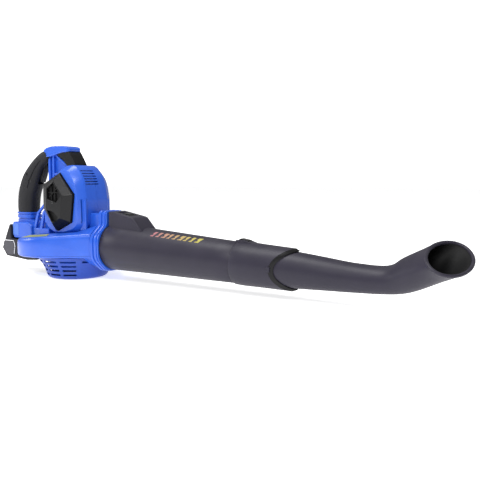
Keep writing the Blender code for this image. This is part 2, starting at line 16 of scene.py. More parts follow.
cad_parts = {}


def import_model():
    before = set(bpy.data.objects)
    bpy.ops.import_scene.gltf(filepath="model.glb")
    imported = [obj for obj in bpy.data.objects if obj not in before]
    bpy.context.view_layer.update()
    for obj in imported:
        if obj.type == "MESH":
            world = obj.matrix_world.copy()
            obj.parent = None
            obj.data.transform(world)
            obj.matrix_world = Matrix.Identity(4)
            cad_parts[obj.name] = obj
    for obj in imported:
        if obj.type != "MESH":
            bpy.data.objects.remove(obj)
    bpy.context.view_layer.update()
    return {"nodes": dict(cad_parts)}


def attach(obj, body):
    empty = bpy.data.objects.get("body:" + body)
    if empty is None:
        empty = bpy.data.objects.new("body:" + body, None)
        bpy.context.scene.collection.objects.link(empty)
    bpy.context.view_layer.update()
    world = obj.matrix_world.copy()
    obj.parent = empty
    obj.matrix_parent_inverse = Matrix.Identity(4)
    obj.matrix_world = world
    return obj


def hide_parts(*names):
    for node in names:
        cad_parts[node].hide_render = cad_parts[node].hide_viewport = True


LOG = logging.getLogger("leaf_blower")
MM = 0.001
Point2 = tuple[float, float]
Point3 = tuple[float, float, float]
Ring = list[Vector]
Piece = bpy.types.Object
Socket = bpy.types.NodeSocket
Surface = tuple[Socket, Socket, Socket]

CRISP = 35.0
"""Edges sharper than this many degrees stay crisp."""
MOST_OF_SIDE = 0.48
"""Share of a side that the arc of one corner may take."""
DUST_COLOUR = (0.30, 0.29, 0.27)
DULL = 1.33
"""Index of refraction of the dark plastics, whose reflections are weak."""
PARTING = 0.15
"""Half of the gap, in millimetres, between the two halves of a shell."""


class Body(Enum):
    """Bodies of the frame that pieces ride on."""

    HOUSING = "housing"
    TRIGGER = "trigger_lever"
    SPEED_KEY = "speed_key"
    BATTERY = "battery"
    BATTERY_LATCH = "battery_latch"
    TUBE = "tube"
    TUBE_LATCH = "tube_latch"
    NOZZLE_RELEASE = "nozzle_release"
    NOZZLE = "nozzle_pipe"


class Cut(Enum):
    """What a second solid does to the first."""

    JOIN = "UNION"
    REMOVE = "DIFFERENCE"
    KEEP = "INTERSECT"


# ---------------------------------------------------------------- outlines


def along_curve(knots: Sequence[Sequence[float]], count: int) -> list[list[float]]:
    """Points evenly spread over the knots on a smooth curve through all of them.

    Args:
        knots: The numbers of each knot, all of one length.
        count: How many points to give.

    Returns:
        The points, with the first and last knot at the ends.
    """
    found = []
    last = len(knots) - 1
    for step in range(count):
        place = last * step / (count - 1)
        i = min(int(place), last - 1)
        t = place - i
        a, b = knots[max(i - 1, 0)], knots[i]
        c, d = knots[i + 1], knots[min(i + 2, last)]
        found.append([
            0.5 * (2 * q + (r - p) * t + (2 * p - 5 * q + 4 * r - s) * t * t + (3 * q - p - 3 * r + s) * t**3)
            for p, q, r, s in zip(a, b, c, d)
        ])
    return found


def rounded(outline: Sequence[Point2], radius: float | Sequence[float], steps: int = 3) -> list[Point2]:
    """Outline with each corner turned into a small arc.

    Args:
        outline: Corners in order.
        radius: How far the arc reaches along each side, one value or one per corner.
        steps: Segments of each arc.

    Returns:
        The new outline.
    """
    count = len(outline)
    reaches = [radius] * count if isinstance(radius, (int, float)) else list(radius)
    found: list[Point2] = []
    for i, corner in enumerate(outline):
        here = Vector(corner)
        before, after = Vector(outline[i - 1]) - here, Vector(outline[(i + 1) % count]) - here
        reach = min(reaches[i], before.length * MOST_OF_SIDE, after.length * MOST_OF_SIDE)
        a, b = here + before.normalized() * reach, here + after.normalized() * reach
        for step in range(steps + 1):
            t = step / steps
            p = a * (1 - t) ** 2 + here * 2 * t * (1 - t) + b * t * t
            found.append((p.x, p.y))
    return found


def grown(outline: Sequence[Point2], distance: float) -> list[Point2]:
    """Outline moved outwards by a distance, or inwards if it is negative."""
    count = len(outline)
    area = sum(outline[i - 1][0] * p[1] - p[0] * outline[i - 1][1] for i, p in enumerate(outline))
    sense = 1 if area > 0 else -1
    found = []
    for i, (x, y) in enumerate(outline):
        before = Vector((x, y)) - Vector(outline[i - 1])
        after = Vector(outline[(i + 1) % count]) - Vector((x, y))
        normals = [Vector((s.y, -s.x)).normalized() * sense for s in (before, after) if s.length > 1e-6]
        out = sum(normals, Vector((0, 0))).normalized()
        spread = max(0.5, out.dot(normals[0]))
        found.append((x + out.x * distance / spread, y + out.y * distance / spread))
    return found


def scaled(outline: Sequence[Point2], factor: float, centre: Point2) -> list[Point2]:
    """Outline scaled about a centre."""
    return [(centre[0] + (x - centre[0]) * factor, centre[1] + (y - centre[1]) * factor) for x, y in outline]


def on_y(outline: Iterable[Point2], y: float) -> Ring:
    """Ring of an (x, z) outline at one distance from the middle plane."""
    return [Vector((x, y, z)) for x, z in outline]


def on_x(outline: Iterable[Point2], x: float) -> Ring:
    """Ring of a (y, z) outline across the flow."""
    return [Vector((x, y, z)) for y, z in outline]


def disc(centre: Point2, radius: float, steps: int) -> list[Point2]:
    """Outline of a circle."""
    turns = [2 * math.pi * i / steps for i in range(steps)]
    return [(centre[0] + radius * math.cos(t), centre[1] + radius * math.sin(t)) for t in turns]


def circle(radius: float, steps: int, height: float) -> Ring:
    """Ring of a circle about the fan's axis."""
    return [Vector((x, y, height)) for x, y in disc((0, 0), radius, steps)]


# ---------------------------------------------------------------- modelling by hand


def rest() -> None:
    """Leave edit mode with nothing selected."""
    if bpy.context.object is not None and bpy.context.object.mode != "OBJECT":
        bpy.ops.object.mode_set(mode="OBJECT")
    bpy.ops.object.select_all(action="DESELECT")


def pick(piece: Piece) -> None:
    """Make a piece the only one selected."""
    rest()
    piece.select_set(True)
    bpy.context.view_layer.objects.active = piece


class Bench:
    """Draws one closed shape out of a circle, ring after ring, in edit mode."""

    def __init__(self, name: str, first: Ring) -> None:
        """Add the circle and put its points on the first ring.

        Args:
            name: The piece's name.
            first: The points of the first ring, in millimetres.
        """
        rest()
        bpy.ops.mesh.primitive_circle_add(vertices=len(first), radius=0.05, fill_type="NOTHING")
        self.piece = bpy.context.active_object
        self.piece.name = name
        self.rings = 0
        bpy.ops.object.mode_set(mode="EDIT")
        bpy.ops.mesh.select_mode(type="VERT")
        mesh = bmesh.from_edit_mesh(self.piece.data)
        station = mesh.verts.layers.int.new("station")
        mesh.verts.layers.int.new("ring")
        for i, vert in enumerate(mesh.verts):
            vert[station] = i
        bpy.ops.mesh.select_all(action="SELECT")
        self._settle(first)

    def _settle(self, points: Ring) -> None:
        """Move the selected ring onto its points and number it."""
        mesh = bmesh.from_edit_mesh(self.piece.data)
        station, ring = mesh.verts.layers.int["station"], mesh.verts.layers.int["ring"]
        for vert in mesh.verts:
            if vert.select:
                vert.co = points[vert[station]] * MM
                vert[ring] = self.rings
        bmesh.update_edit_mesh(self.piece.data)
        self.rings += 1

    def draw(self, *rings: Ring) -> "Bench":
        """Extrude the open end onto each further ring."""
        for points in rings:
            bpy.ops.mesh.extrude_region_move(TRANSFORM_OT_translate={"value": (0, 0, 0)})
            self._settle(points)
        return self

    def _hold(self, *wanted: int) -> None:
        """Select only the points of these rings."""
        bpy.ops.mesh.select_all(action="DESELECT")
        mesh = bmesh.from_edit_mesh(self.piece.data)
        ring = mesh.verts.layers.int["ring"]
        for vert in mesh.verts:
            vert.select = vert[ring] in wanted
        mesh.select_flush_mode()
        for edge in mesh.edges:
            edge.select = edge.is_boundary and all(v.select for v in edge.verts)
        bmesh.update_edit_mesh(self.piece.data)

    def cap(self, both: bool = True) -> "Bench":
        """Fill the first open end, and the last one too unless told not to."""
        for ring in (0, self.rings - 1) if both else (0,):
            self._hold(ring)
            bpy.ops.mesh.edge_face_add()
        return self

    def loop_round(self) -> "Bench":
        """Join the last ring to the first, as on a pipe with a wall."""
        self._hold(0, self.rings - 1)
        bpy.ops.mesh.bridge_edge_loops()
        return self

    def done(self, smooth: float = CRISP) -> Piece:
        """Turn all faces outwards and leave edit mode.

        Args:
            smooth: Edges sharper than this many degrees stay crisp.

        Returns:
            The piece.
        """
        bpy.ops.mesh.select_all(action="SELECT")
        bpy.ops.mesh.normals_make_consistent(inside=False)
        bpy.ops.object.mode_set(mode="OBJECT")
        for name in ("station", "ring"):
            self.piece.data.attributes.remove(self.piece.data.attributes[name])
        return finished(self.piece, smooth)


def finished(piece: Piece, smooth: float = CRISP) -> Piece:
    """Shade a piece smooth except at its crisp edges."""
    pick(piece)
    bpy.ops.object.shade_smooth_by_angle(angle=math.radians(smooth))
    return piece


def modify(piece: Piece, kind: str, **settings: object) -> Piece:
    """Add a modifier, set it and apply it."""
    pick(piece)
    bpy.ops.object.modifier_add(type=kind)
    modifier = piece.modifiers[-1]
    for key, value in settings.items():
        setattr(modifier, key, value)
    bpy.ops.object.modifier_apply(modifier=modifier.name)
    return piece


def soften(piece: Piece, width: float, segments: int = 2, angle: float = CRISP) -> Piece:
    """Round the edges of a piece by a width in millimetres."""
    modify(piece, "BEVEL", width=width * MM, segments=segments, limit_method="ANGLE",
           angle_limit=math.radians(angle))
    return finished(piece, 40)


def combine(piece: Piece, other: Piece, how: Cut) -> Piece:
    """Join a second solid to a piece, cut it away or keep what both share, then drop the second."""
    modify(piece, "BOOLEAN", object=other, operation=how.value, solver="EXACT")
    bpy.data.objects.remove(other, do_unlink=True)
    return piece


def cut(piece: Piece, *cutters: Piece) -> Piece:
    """Cut solids away from a piece and drop them."""
    for cutter in cutters:
        combine(piece, cutter, Cut.REMOVE)
    return piece


def solid(name: str, rings: Sequence[Ring], smooth: float = CRISP) -> Piece:
    """Shape drawn through the rings, with both ends filled."""
    return Bench(name, rings[0]).draw(*rings[1:]).cap().done(smooth)


def pipe(name: str, rings: Sequence[Ring], smooth: float = CRISP) -> Piece:
    """Shape drawn through the rings, whose last ring joins its first."""
    return Bench(name, rings[0]).draw(*rings[1:]).loop_round().done(smooth)


def prism(name: str, outline: Sequence[Point2], near: float, far: float) -> Piece:
    """Solid of an (x, z) outline between two distances from the middle plane."""
    return solid(name, [on_y(outline, near), on_y(outline, far)])


def span(sense: int, near: float, far: float) -> list[float]:
    """Two distances from the middle plane on the side of the sense, the lower first."""
    return sorted((near * sense, far * sense))


def block(name: str, low: Sequence[float], high: Sequence[float], soft: float = 0.0) -> Piece:
    """Box between two corners, with its edges rounded if asked."""
    x0, y0, z0 = low
    x1, y1, z1 = high
    ring = [(x0, z0), (x1, z0), (x1, z1), (x0, z1)]
    piece = prism(name, ring, y0, y1)
    return soften(piece, soft) if soft else piece


def slab(name: str, outline: Sequence[Point2], half: float, soft: float = 0.0, segments: int = 3) -> Piece:
    """Plate of an (x, z) outline, as thick as twice the half, with rounded edges."""
    piece = prism(name, outline, -half, half)
    return soften(piece, soft, segments, 50) if soft else piece


def twin(piece: Piece, name: str) -> Piece:
    """Copy of a piece with its own mesh."""
    pick(piece)
    bpy.ops.object.duplicate()
    copy = bpy.context.active_object
    copy.name = name
    return copy


def mirrored(piece: Piece, name: str) -> Piece:
    """Copy of a piece on the other side of the middle plane."""
    copy = twin(piece, name)
    bpy.ops.object.mode_set(mode="EDIT")
    bpy.ops.mesh.select_all(action="SELECT")
    bpy.ops.transform.resize(value=(1, -1, 1), center_override=(0, 0, 0))
    bpy.ops.mesh.flip_normals()
    bpy.ops.object.mode_set(mode="OBJECT")
    return copy


def trimmed(piece: Piece, point: Sequence[float], normal: Sequence[float]) -> Piece:
    """Cut a piece flat and drop what lies on the side the normal points to."""
    pick(piece)
    bpy.ops.object.mode_set(mode="EDIT")
    bpy.ops.mesh.select_all(action="SELECT")
    bpy.ops.mesh.bisect(plane_co=Vector(point) * MM, plane_no=normal, use_fill=True, clear_outer=True)
    bpy.ops.object.mode_set(mode="OBJECT")
    return piece


def parted(piece: Piece, names: tuple[str, str], point: Sequence[float], normal: Sequence[float],
           gap: float = PARTING) -> tuple[Piece, Piece]:
    """Cut a piece in two at a plane, with a small gap.

    Args:
        piece: The piece, which keeps the side that the normal points to.
        names: Names of its new copy and of the piece.
        point: A point of the plane.
        normal: The plane's normal.
        gap: Half of the gap.

    Returns:
        The copy, which is the side behind the plane, and the piece.
    """
    copy = twin(piece, names[0])
    trimmed(copy, [p - n * gap for p, n in zip(point, normal)], normal)
    trimmed(piece, [p + n * gap for p, n in zip(point, normal)], [-n for n in normal])
    piece.name = names[1]
    return copy, piece


def joined(name: str, pieces: Sequence[Piece]) -> Piece:
    """Several loose meshes as one piece."""
    rest()
    for piece in pieces:
        piece.select_set(True)
    bpy.context.view_layer.objects.active = pieces[0]
    bpy.ops.object.join()
    pieces[0].name = name
    return pieces[0]


def placed(piece: Piece, matrix: Matrix) -> Piece:
    """Turn and move a piece's mesh, with the matrix in metres."""
    pick(piece)
    piece.matrix_world = matrix
    bpy.ops.object.transform_apply(location=True, rotation=True, scale=True)
    return piece


def mount(piece: Piece, body: Body, slot: str, finish: "Finish", *nodes: str) -> Piece:
    """Give a piece its finish, its body and the frame nodes it stands for.

    Args:
        piece: The finished piece.
        body: What it rides on.
        slot: The record's material slot, which is not used.
        finish: Its material.
        *nodes: Nodes of the frame that it replaces.

    Returns:
        The piece.
    """
    piece.data.materials.clear()
    piece.data.materials.append(finish.material())
    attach(piece, body.value)
    if nodes:
        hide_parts(*nodes)
    LOG.info("%s: %d faces on %s", piece.name, len(piece.data.polygons), body.value)
    return piece


def mount_pair(piece: Piece, left_name: str, body: Body, slot: str, finish: "Finish") -> None:
    """Mount a piece of the starboard side and its mirror image, neither of which stands for a node."""
    mount(mirrored(piece, left_name), body, slot, finish)
    mount(piece, body, slot, finish)


def take_faces(piece: Piece, wanted: Callable[[bmesh.types.BMFace], bool]) -> None:
    """Enter edit mode with the wanted faces of a piece selected."""
    pick(piece)
    bpy.ops.object.mode_set(mode="EDIT")
    bpy.ops.mesh.select_mode(type="FACE")
    bpy.ops.mesh.select_all(action="DESELECT")
    mesh = bmesh.from_edit_mesh(piece.data)
    for face in mesh.faces:
        face.select = wanted(face)
    bmesh.update_edit_mesh(piece.data)


# ---------------------------------------------------------------- finishes


def new_group(name: str, inputs: dict[str, float], outputs: Sequence[str]) -> bpy.types.NodeTree:
    """Empty shader node group with named number inputs and outputs.

    Args:
        name: The group's name.
        inputs: Each input and its default.
        outputs: Each output.

    Returns:
        The group, with its input and output nodes in place.
    """
    tree = bpy.data.node_groups.new(name, "ShaderNodeTree")
    for title, value in inputs.items():
        tree.interface.new_socket(title, in_out="INPUT", socket_type="NodeSocketFloat").default_value = value
    for title in outputs:
        tree.interface.new_socket(title, in_out="OUTPUT", socket_type="NodeSocketFloat")
    tree.nodes.new("NodeGroupInput")
    tree.nodes.new("NodeGroupOutput")
    return tree


class Weave:
    """Adds and links nodes in one tree."""

    def __init__(self, tree: bpy.types.NodeTree) -> None:
        """Work on this tree."""
        self.tree = tree

    def feed(self, node: bpy.types.Node, inputs: dict) -> bpy.types.Node:
        """Give inputs of a node, by title or number, what they get: a socket or a fixed value."""
        for title, value in inputs.items():
            target = node.inputs[title]
            if isinstance(value, Socket):
                self.tree.links.new(value, target)
            else:
                target.default_value = (*value, 1) if target.type == "RGBA" else value
        return node

    def node(self, kind: str, inputs: dict | None = None, **settings: object) -> bpy.types.Node:
        """Add a node, set its properties and feed its inputs."""
        made = self.tree.nodes.new(kind)
        for key, value in settings.items():
            setattr(made, key, value)
        return self.feed(made, inputs or {})

    def place(self) -> Socket:
        """Place on the object, in metres."""
        return self.node("ShaderNodeTexCoord").outputs["Object"]

    def split(self, vector: Socket, axis: str) -> Socket:
        """One part of a vector."""
        return self.node("ShaderNodeSeparateXYZ", {"Vector": vector}).outputs[axis]

    def maths(self, operation: str, *values: object, clamp: bool = False) -> Socket:
        """Arithmetic on sockets or numbers."""
        made = self.node("ShaderNodeMath", dict(enumerate(values)), operation=operation, use_clamp=clamp)
        return made.outputs[0]

    def noise(self, place: Socket, scale: object, detail: float) -> Socket:
        """Noise over a place, with a scale that is a number or a socket."""
        inputs = {"Detail": detail, "Vector": place, "Scale": scale}
        return self.node("ShaderNodeTexNoise", inputs).outputs["Fac"]

    def ramp(self, value: Socket, low: float, high: float) -> Socket:
        """0 below low, 1 above high, and straight between."""
        ends = {"Value": value, "From Min": low, "From Max": high}
        return self.node("ShaderNodeMapRange", ends, clamp=True).outputs["Result"]

    def blend(self, share: Socket, first: object, second: object) -> Socket:
        """Mix of two colours or sockets by a share."""
        return self.node("ShaderNodeMix", {0: share, 6: first, 7: second}, data_type="RGBA").outputs[2]


def moulded_surface() -> bpy.types.NodeTree:
    """Group for an injection-moulded skin: spark-eroded grain, flow mottle and fine handling scuffs."""
    name = "moulded_surface"
    if name in bpy.data.node_groups:
        return bpy.data.node_groups[name]
    tree = new_group(name, {"Grain": 1400.0, "Mottle": 26.0, "Scuffs": 0.4}, ["Height", "Tone", "Scuff"])
    weave = Weave(tree)
    given = tree.nodes["Group Input"].outputs
    place = weave.place()
    fine = weave.noise(place, given["Grain"], 2.0)
    coarse = weave.noise(place, weave.maths("MULTIPLY", given["Grain"], 0.31), 1.0)
    height = weave.maths("ADD", weave.maths("MULTIPLY", fine, 0.6), weave.maths("MULTIPLY", coarse, 0.4))
    tone = weave.ramp(weave.noise(place, given["Mottle"], 3.0), 0.3, 0.72)
    lengthwise = {"Vector": place, "Scale": (1.0, 5.0, 9.0), "Rotation": (0.2, 0.1, 0.5)}
    stretch = weave.node("ShaderNodeMapping", lengthwise)
    streaks = weave.ramp(weave.noise(stretch.outputs["Vector"], 120.0, 4.0), 0.62, 0.74)
    patches = weave.ramp(weave.noise(place, 17.0, 2.0), 0.5, 0.68)
    scuff = weave.maths("MULTIPLY", weave.maths("MULTIPLY", streaks, patches), given["Scuffs"], clamp=True)
    weave.feed(tree.nodes["Group Output"], {"Height": height, "Tone": tone, "Scuff": scuff})
    return tree


def settled_dust() -> bpy.types.NodeTree:
    """Group for a little dust on faces that look up, thicker in patches."""
    name = "settled_dust"
    if name in bpy.data.node_groups:
        return bpy.data.node_groups[name]
    tree = new_group(name, {"Amount": 0.1}, ["Dust"])
    weave = Weave(tree)
    place = weave.place()
    normal = weave.node("ShaderNodeNewGeometry").outputs["Normal"]
    up = weave.ramp(weave.split(normal, "Z"), 0.35, 0.98)
    cloud = weave.ramp(weave.noise(place, 60.0, 5.0), 0.35, 0.75)
    amount = tree.nodes["Group Input"].outputs["Amount"]
    dust = weave.maths("MULTIPLY", weave.maths("MULTIPLY", up, cloud), amount, clamp=True)
    weave.feed(tree.nodes["Group Output"], {"Dust": dust})
    return tree


@dataclass(frozen=True)
class Finish:
    """A moulded or coated surface.

    Attributes:
        name: The material's name.
        colour: Base colour, linear.
        deep: Base colour where the mottle is darkest.
        rough: Lowest roughness.
        spread: How much roughness the grain adds.
        grain: Grain cells per metre.
        depth: Grain depth in millimetres.
        metal: 1 for bare metal.
        scuffs: Strength of handling marks.
        dust: Strength of settled dust.
        coat: Strength of a clear, glossy skin.
        ior: Index of refraction of the surface.
    """

    name: str
    colour: tuple[float, float, float]
    deep: tuple[float, float, float]
    rough: float = 0.4
    spread: float = 0.12
    grain: float = 1500.0
    depth: float = 0.02
    metal: float = 0.0
    scuffs: float = 0.35
    dust: float = 0.04
    coat: float = 0.0
    ior: float = 1.46

    def material(self) -> bpy.types.Material:
        """The material, made once and then shared."""
        if self.name in bpy.data.materials:
            return bpy.data.materials[self.name]
        made = bpy.data.materials.new(self.name)
        made.use_nodes = True
        made.diffuse_color = (*self.colour, 1)
        weave = Weave(made.node_tree)
        shader = made.node_tree.nodes["Principled BSDF"]
        height, tone, scuff = self.surface(weave)
        dust = weave.node("ShaderNodeGroup", node_tree=settled_dust())
        weave.feed(dust, {"Amount": self.dust})
        pale = tuple(1.05 * c + 0.022 for c in self.colour)
        worn = weave.blend(scuff, weave.blend(tone, self.deep, self.colour), pale)
        rough = weave.maths("MULTIPLY_ADD", height, self.spread, self.rough)
        bump = {"Strength": 0.8, "Distance": self.depth * MM, "Height": height}
        weave.feed(shader, {
            "Metallic": self.metal,
            "IOR": self.ior,
            "Coat Weight": self.coat,
            "Coat Roughness": 0.12,
            "Base Color": weave.blend(dust.outputs["Dust"], worn, DUST_COLOUR),
            "Roughness": weave.maths("ADD", rough, weave.maths("MULTIPLY", scuff, 0.25), clamp=True),
            "Normal": weave.node("ShaderNodeBump", bump).outputs["Normal"],
        })
        return made

    def surface(self, weave: Weave) -> Surface:
        """Height, tone and scuff of the surface."""
        skin = weave.node("ShaderNodeGroup", node_tree=moulded_surface())
        weave.feed(skin, {"Grain": self.grain, "Scuffs": self.scuffs})
        return skin.outputs["Height"], skin.outputs["Tone"], skin.outputs["Scuff"]


@dataclass(frozen=True)
class StippledRubber(Finish):
    """Soft over-moulded grip with small raised dots."""

    dots: float = 620.0

    def surface(self, weave: Weave) -> Surface:
        """Height from the dots over the moulded grain."""
        grain, tone, scuff = super().surface(weave)
        pattern = {"Scale": self.dots, "Randomness": 0.25, "Vector": weave.place()}
        cells = weave.node("ShaderNodeTexVoronoi", pattern)
        dots = weave.maths("SUBTRACT", 1.0, weave.ramp(cells.outputs["Distance"], 0.15, 0.5))
        height = weave.maths("ADD", weave.maths("MULTIPLY", dots, 0.8), weave.maths("MULTIPLY", grain, 0.2))
        return height, tone, scuff


@dataclass(frozen=True)
class FadingPrint(Finish):
    """Printed mark whose colour runs from one end to the other."""

    start: float = 200.0
    end: float = 325.0

    def surface(self, weave: Weave) -> Surface:
        """The grain, with the tone running along the tube."""
        grain, _, scuff = super().surface(weave)
        tone = weave.ramp(weave.split(weave.place(), "X"), self.start * MM, self.end * MM)
        return grain, tone, scuff


BLUE = Finish("cobalt_shell", (0.018, 0.100, 0.560), (0.013, 0.082, 0.500), 0.27, 0.12, coat=0.15)
BLUE_PALE = Finish("pale_panel", (0.075, 0.18, 0.60), (0.065, 0.16, 0.54), 0.4, 0.12)
# Same blue plastic as the shell, made darker: painted shade on the bowl under the fan.
BLUE_IN_SHADE = Finish("bowl_painted_shade", (0.011, 0.056, 0.36), (0.009, 0.046, 0.32), 0.34, 0.12)
CHARCOAL = Finish(
    "charcoal_moulding", (0.024, 0.0212, 0.035), (0.02, 0.018, 0.03), 0.38, 0.14, 1100.0, 0.03, ior=DULL,
)
BLACK = Finish(
    "black_moulding", (0.005, 0.005, 0.0058), (0.0034, 0.0034, 0.0042), 0.27, 0.14, 1300.0, ior=DULL,
)
# Near-black stand-in for shade: painted shade in the cover's pits and seam and inside the nozzle.
SHADE_BLACK = Finish(
    "painted_shade_black", (0.0012, 0.0012, 0.0016), (0.0008, 0.0008, 0.001), 0.6, 0.1,
    scuffs=0.0, dust=0.0, ior=DULL,
)
RUBBER = StippledRubber(
    "stippled_grip", (0.0090, 0.0088, 0.0115), (0.0066, 0.0065, 0.0085), 0.52, 0.14, 900.0, 0.06, ior=DULL,
)
PACK = Finish("pack_case", (0.016, 0.016, 0.020), (0.012, 0.012, 0.016), 0.40, 0.12, 1000.0, 0.03, ior=DULL)
PACK_PALE = Finish("pack_panel", (0.052, 0.050, 0.062), (0.043, 0.042, 0.052), 0.42, 0.12, 1000.0, 0.03)
SILVER = Finish("silver_trim", (0.86, 0.86, 0.88), (0.78, 0.78, 0.8), 0.3, 0.05, dust=0.02)
LABEL = Finish("plain_label", (0.30, 0.32, 0.10), (0.25, 0.27, 0.09), 0.4, 0.05, dust=0.02)
PRINT = FadingPrint("tube_print", (0.40, 0.36, 0.05), (0.34, 0.07, 0.16), 0.4, 0.05, dust=0.02)
STEEL = Finish(
    "zinc_steel", (0.55, 0.56, 0.58), (0.42, 0.43, 0.45), 0.28, 0.2, 1800.0, 0.01, metal=1.0, dust=0.0,
)
DARK_STEEL = Finish(
    "blackened_steel", (0.02, 0.02, 0.022), (0.014, 0.014, 0.016), 0.4, 0.1, scuffs=0.0, dust=0.0,
)
COPPER = Finish(
    "copper_winding", (0.72, 0.36, 0.18), (0.6, 0.28, 0.12), 0.3, 0.15, 900.0, 0.05, metal=1.0, dust=0.0,
)
BRASS = Finish("brass_contact", (0.78, 0.56, 0.24), (0.7, 0.48, 0.18), 0.28, 0.1, metal=1.0, dust=0.0)
BOARD = Finish("circuit_laminate", (0.03, 0.2, 0.08), (0.02, 0.15, 0.06), 0.35, 0.1, 500.0, 0.05, dust=0.0)
CELL = Finish("cell_sleeve", (0.09, 0.33, 0.26), (0.07, 0.28, 0.22), 0.3, 0.08, dust=0.0)
RED_WIRE = Finish("red_insulation", (0.6, 0.04, 0.04), (0.5, 0.03, 0.03), 0.45, 0.1, dust=0.0)
BLACK_WIRE = Finish("black_insulation", (0.02,) * 3, (0.015,) * 3, 0.45, 0.1, dust=0.0, ior=DULL)


# ---------------------------------------------------------------- fan housing


@dataclass
class IntakeBowl:
    """Round bowl under the fan, with columns of slots round its rear and sides."""

    wall: Sequence[Point2] = (
        (50, 0), (54.5, 0.5), (57.8, 2.3), (60, 5.0), (61, 7.2), (62.2, 10.8), (63.7, 16.2), (65.1, 19.8),
        (68.1, 25.2), (70.1, 28.8), (74, 34.2), (75.7, 37.8), (78, 44.6),
    )
    steps: int = 118
    rows: Sequence[Point2] = ((7.2, 10.8), (16.2, 19.8), (25.2, 28.8), (34.2, 37.8))
    columns: int = 9
    slot: int = 8
    rib: int = 2
    thick: float = 2.8

    def slots(self) -> list[tuple[int, int]]:
        """First and last wall panel of each column of slots."""
        middle = self.steps // 2
        pitch = self.slot + self.rib
        reach = range(-(self.columns // 2), self.columns // 2 + 1)
        return [(middle + k * pitch - self.slot // 2, middle + k * pitch + self.slot // 2) for k in reach]

    def in_slot(self, face: bmesh.types.BMFace) -> bool:
        """True for a wall panel of a slot; at both ends only the top row has a short one more."""
        spans = self.slots()
        after, before = spans[-1][1] + self.rib, spans[0][0] - self.rib
        short = [(after + 1, after + 5), (before - 5, before - 1)]
        place = face.calc_center_median() / MM
        panel = math.degrees(math.atan2(place.y, place.x)) % 360 / 360 * self.steps
        row = [low < place.z < high for low, high in self.rows]
        in_column = any(low < panel < high for low, high in spans) and any(row)
        in_short = row[-1] and any(low < panel < high for low, high in short)
        return len(face.verts) == 4 and (in_column or in_short)

    def open_slots(self, bowl: Piece) -> None:
        """Take the panels of the slots out of the wall."""
        take_faces(bowl, self.in_slot)
        bpy.ops.mesh.delete(type="FACE")
        bpy.ops.object.mode_set(mode="OBJECT")

    def sink_underside(self, bowl: Piece) -> None:
        """Leave a standing rim round a slightly raised underside, the face with a corner at every step."""
        take_faces(bowl, lambda face: len(face.verts) == self.steps)
        bpy.ops.mesh.inset(thickness=9 * MM)
        bpy.ops.mesh.inset(thickness=1 * MM)
        bpy.ops.transform.translate(value=(0, 0, 1.2 * MM))
        bpy.ops.object.mode_set(mode="OBJECT")

    def build(self) -> None:
        """Make the bowl."""
        rings = [circle(r, self.steps, z) for r, z in self.wall]
        bench = Bench("intake_bowl", rings[0]).draw(*rings[1:])
        bowl = bench.cap(both=False).done()
        self.sink_underside(bowl)
        self.open_slots(bowl)
        modify(bowl, "SOLIDIFY", thickness=self.thick * MM, offset=-1, use_even_offset=True)
        soften(bowl, 0.5, 1, 50)
        # The bowl takes the darker copy of the shell's blue: painted shade.
        mount(bowl, Body.HOUSING, "blue_shell", BLUE_IN_SHADE, "intake_grille")


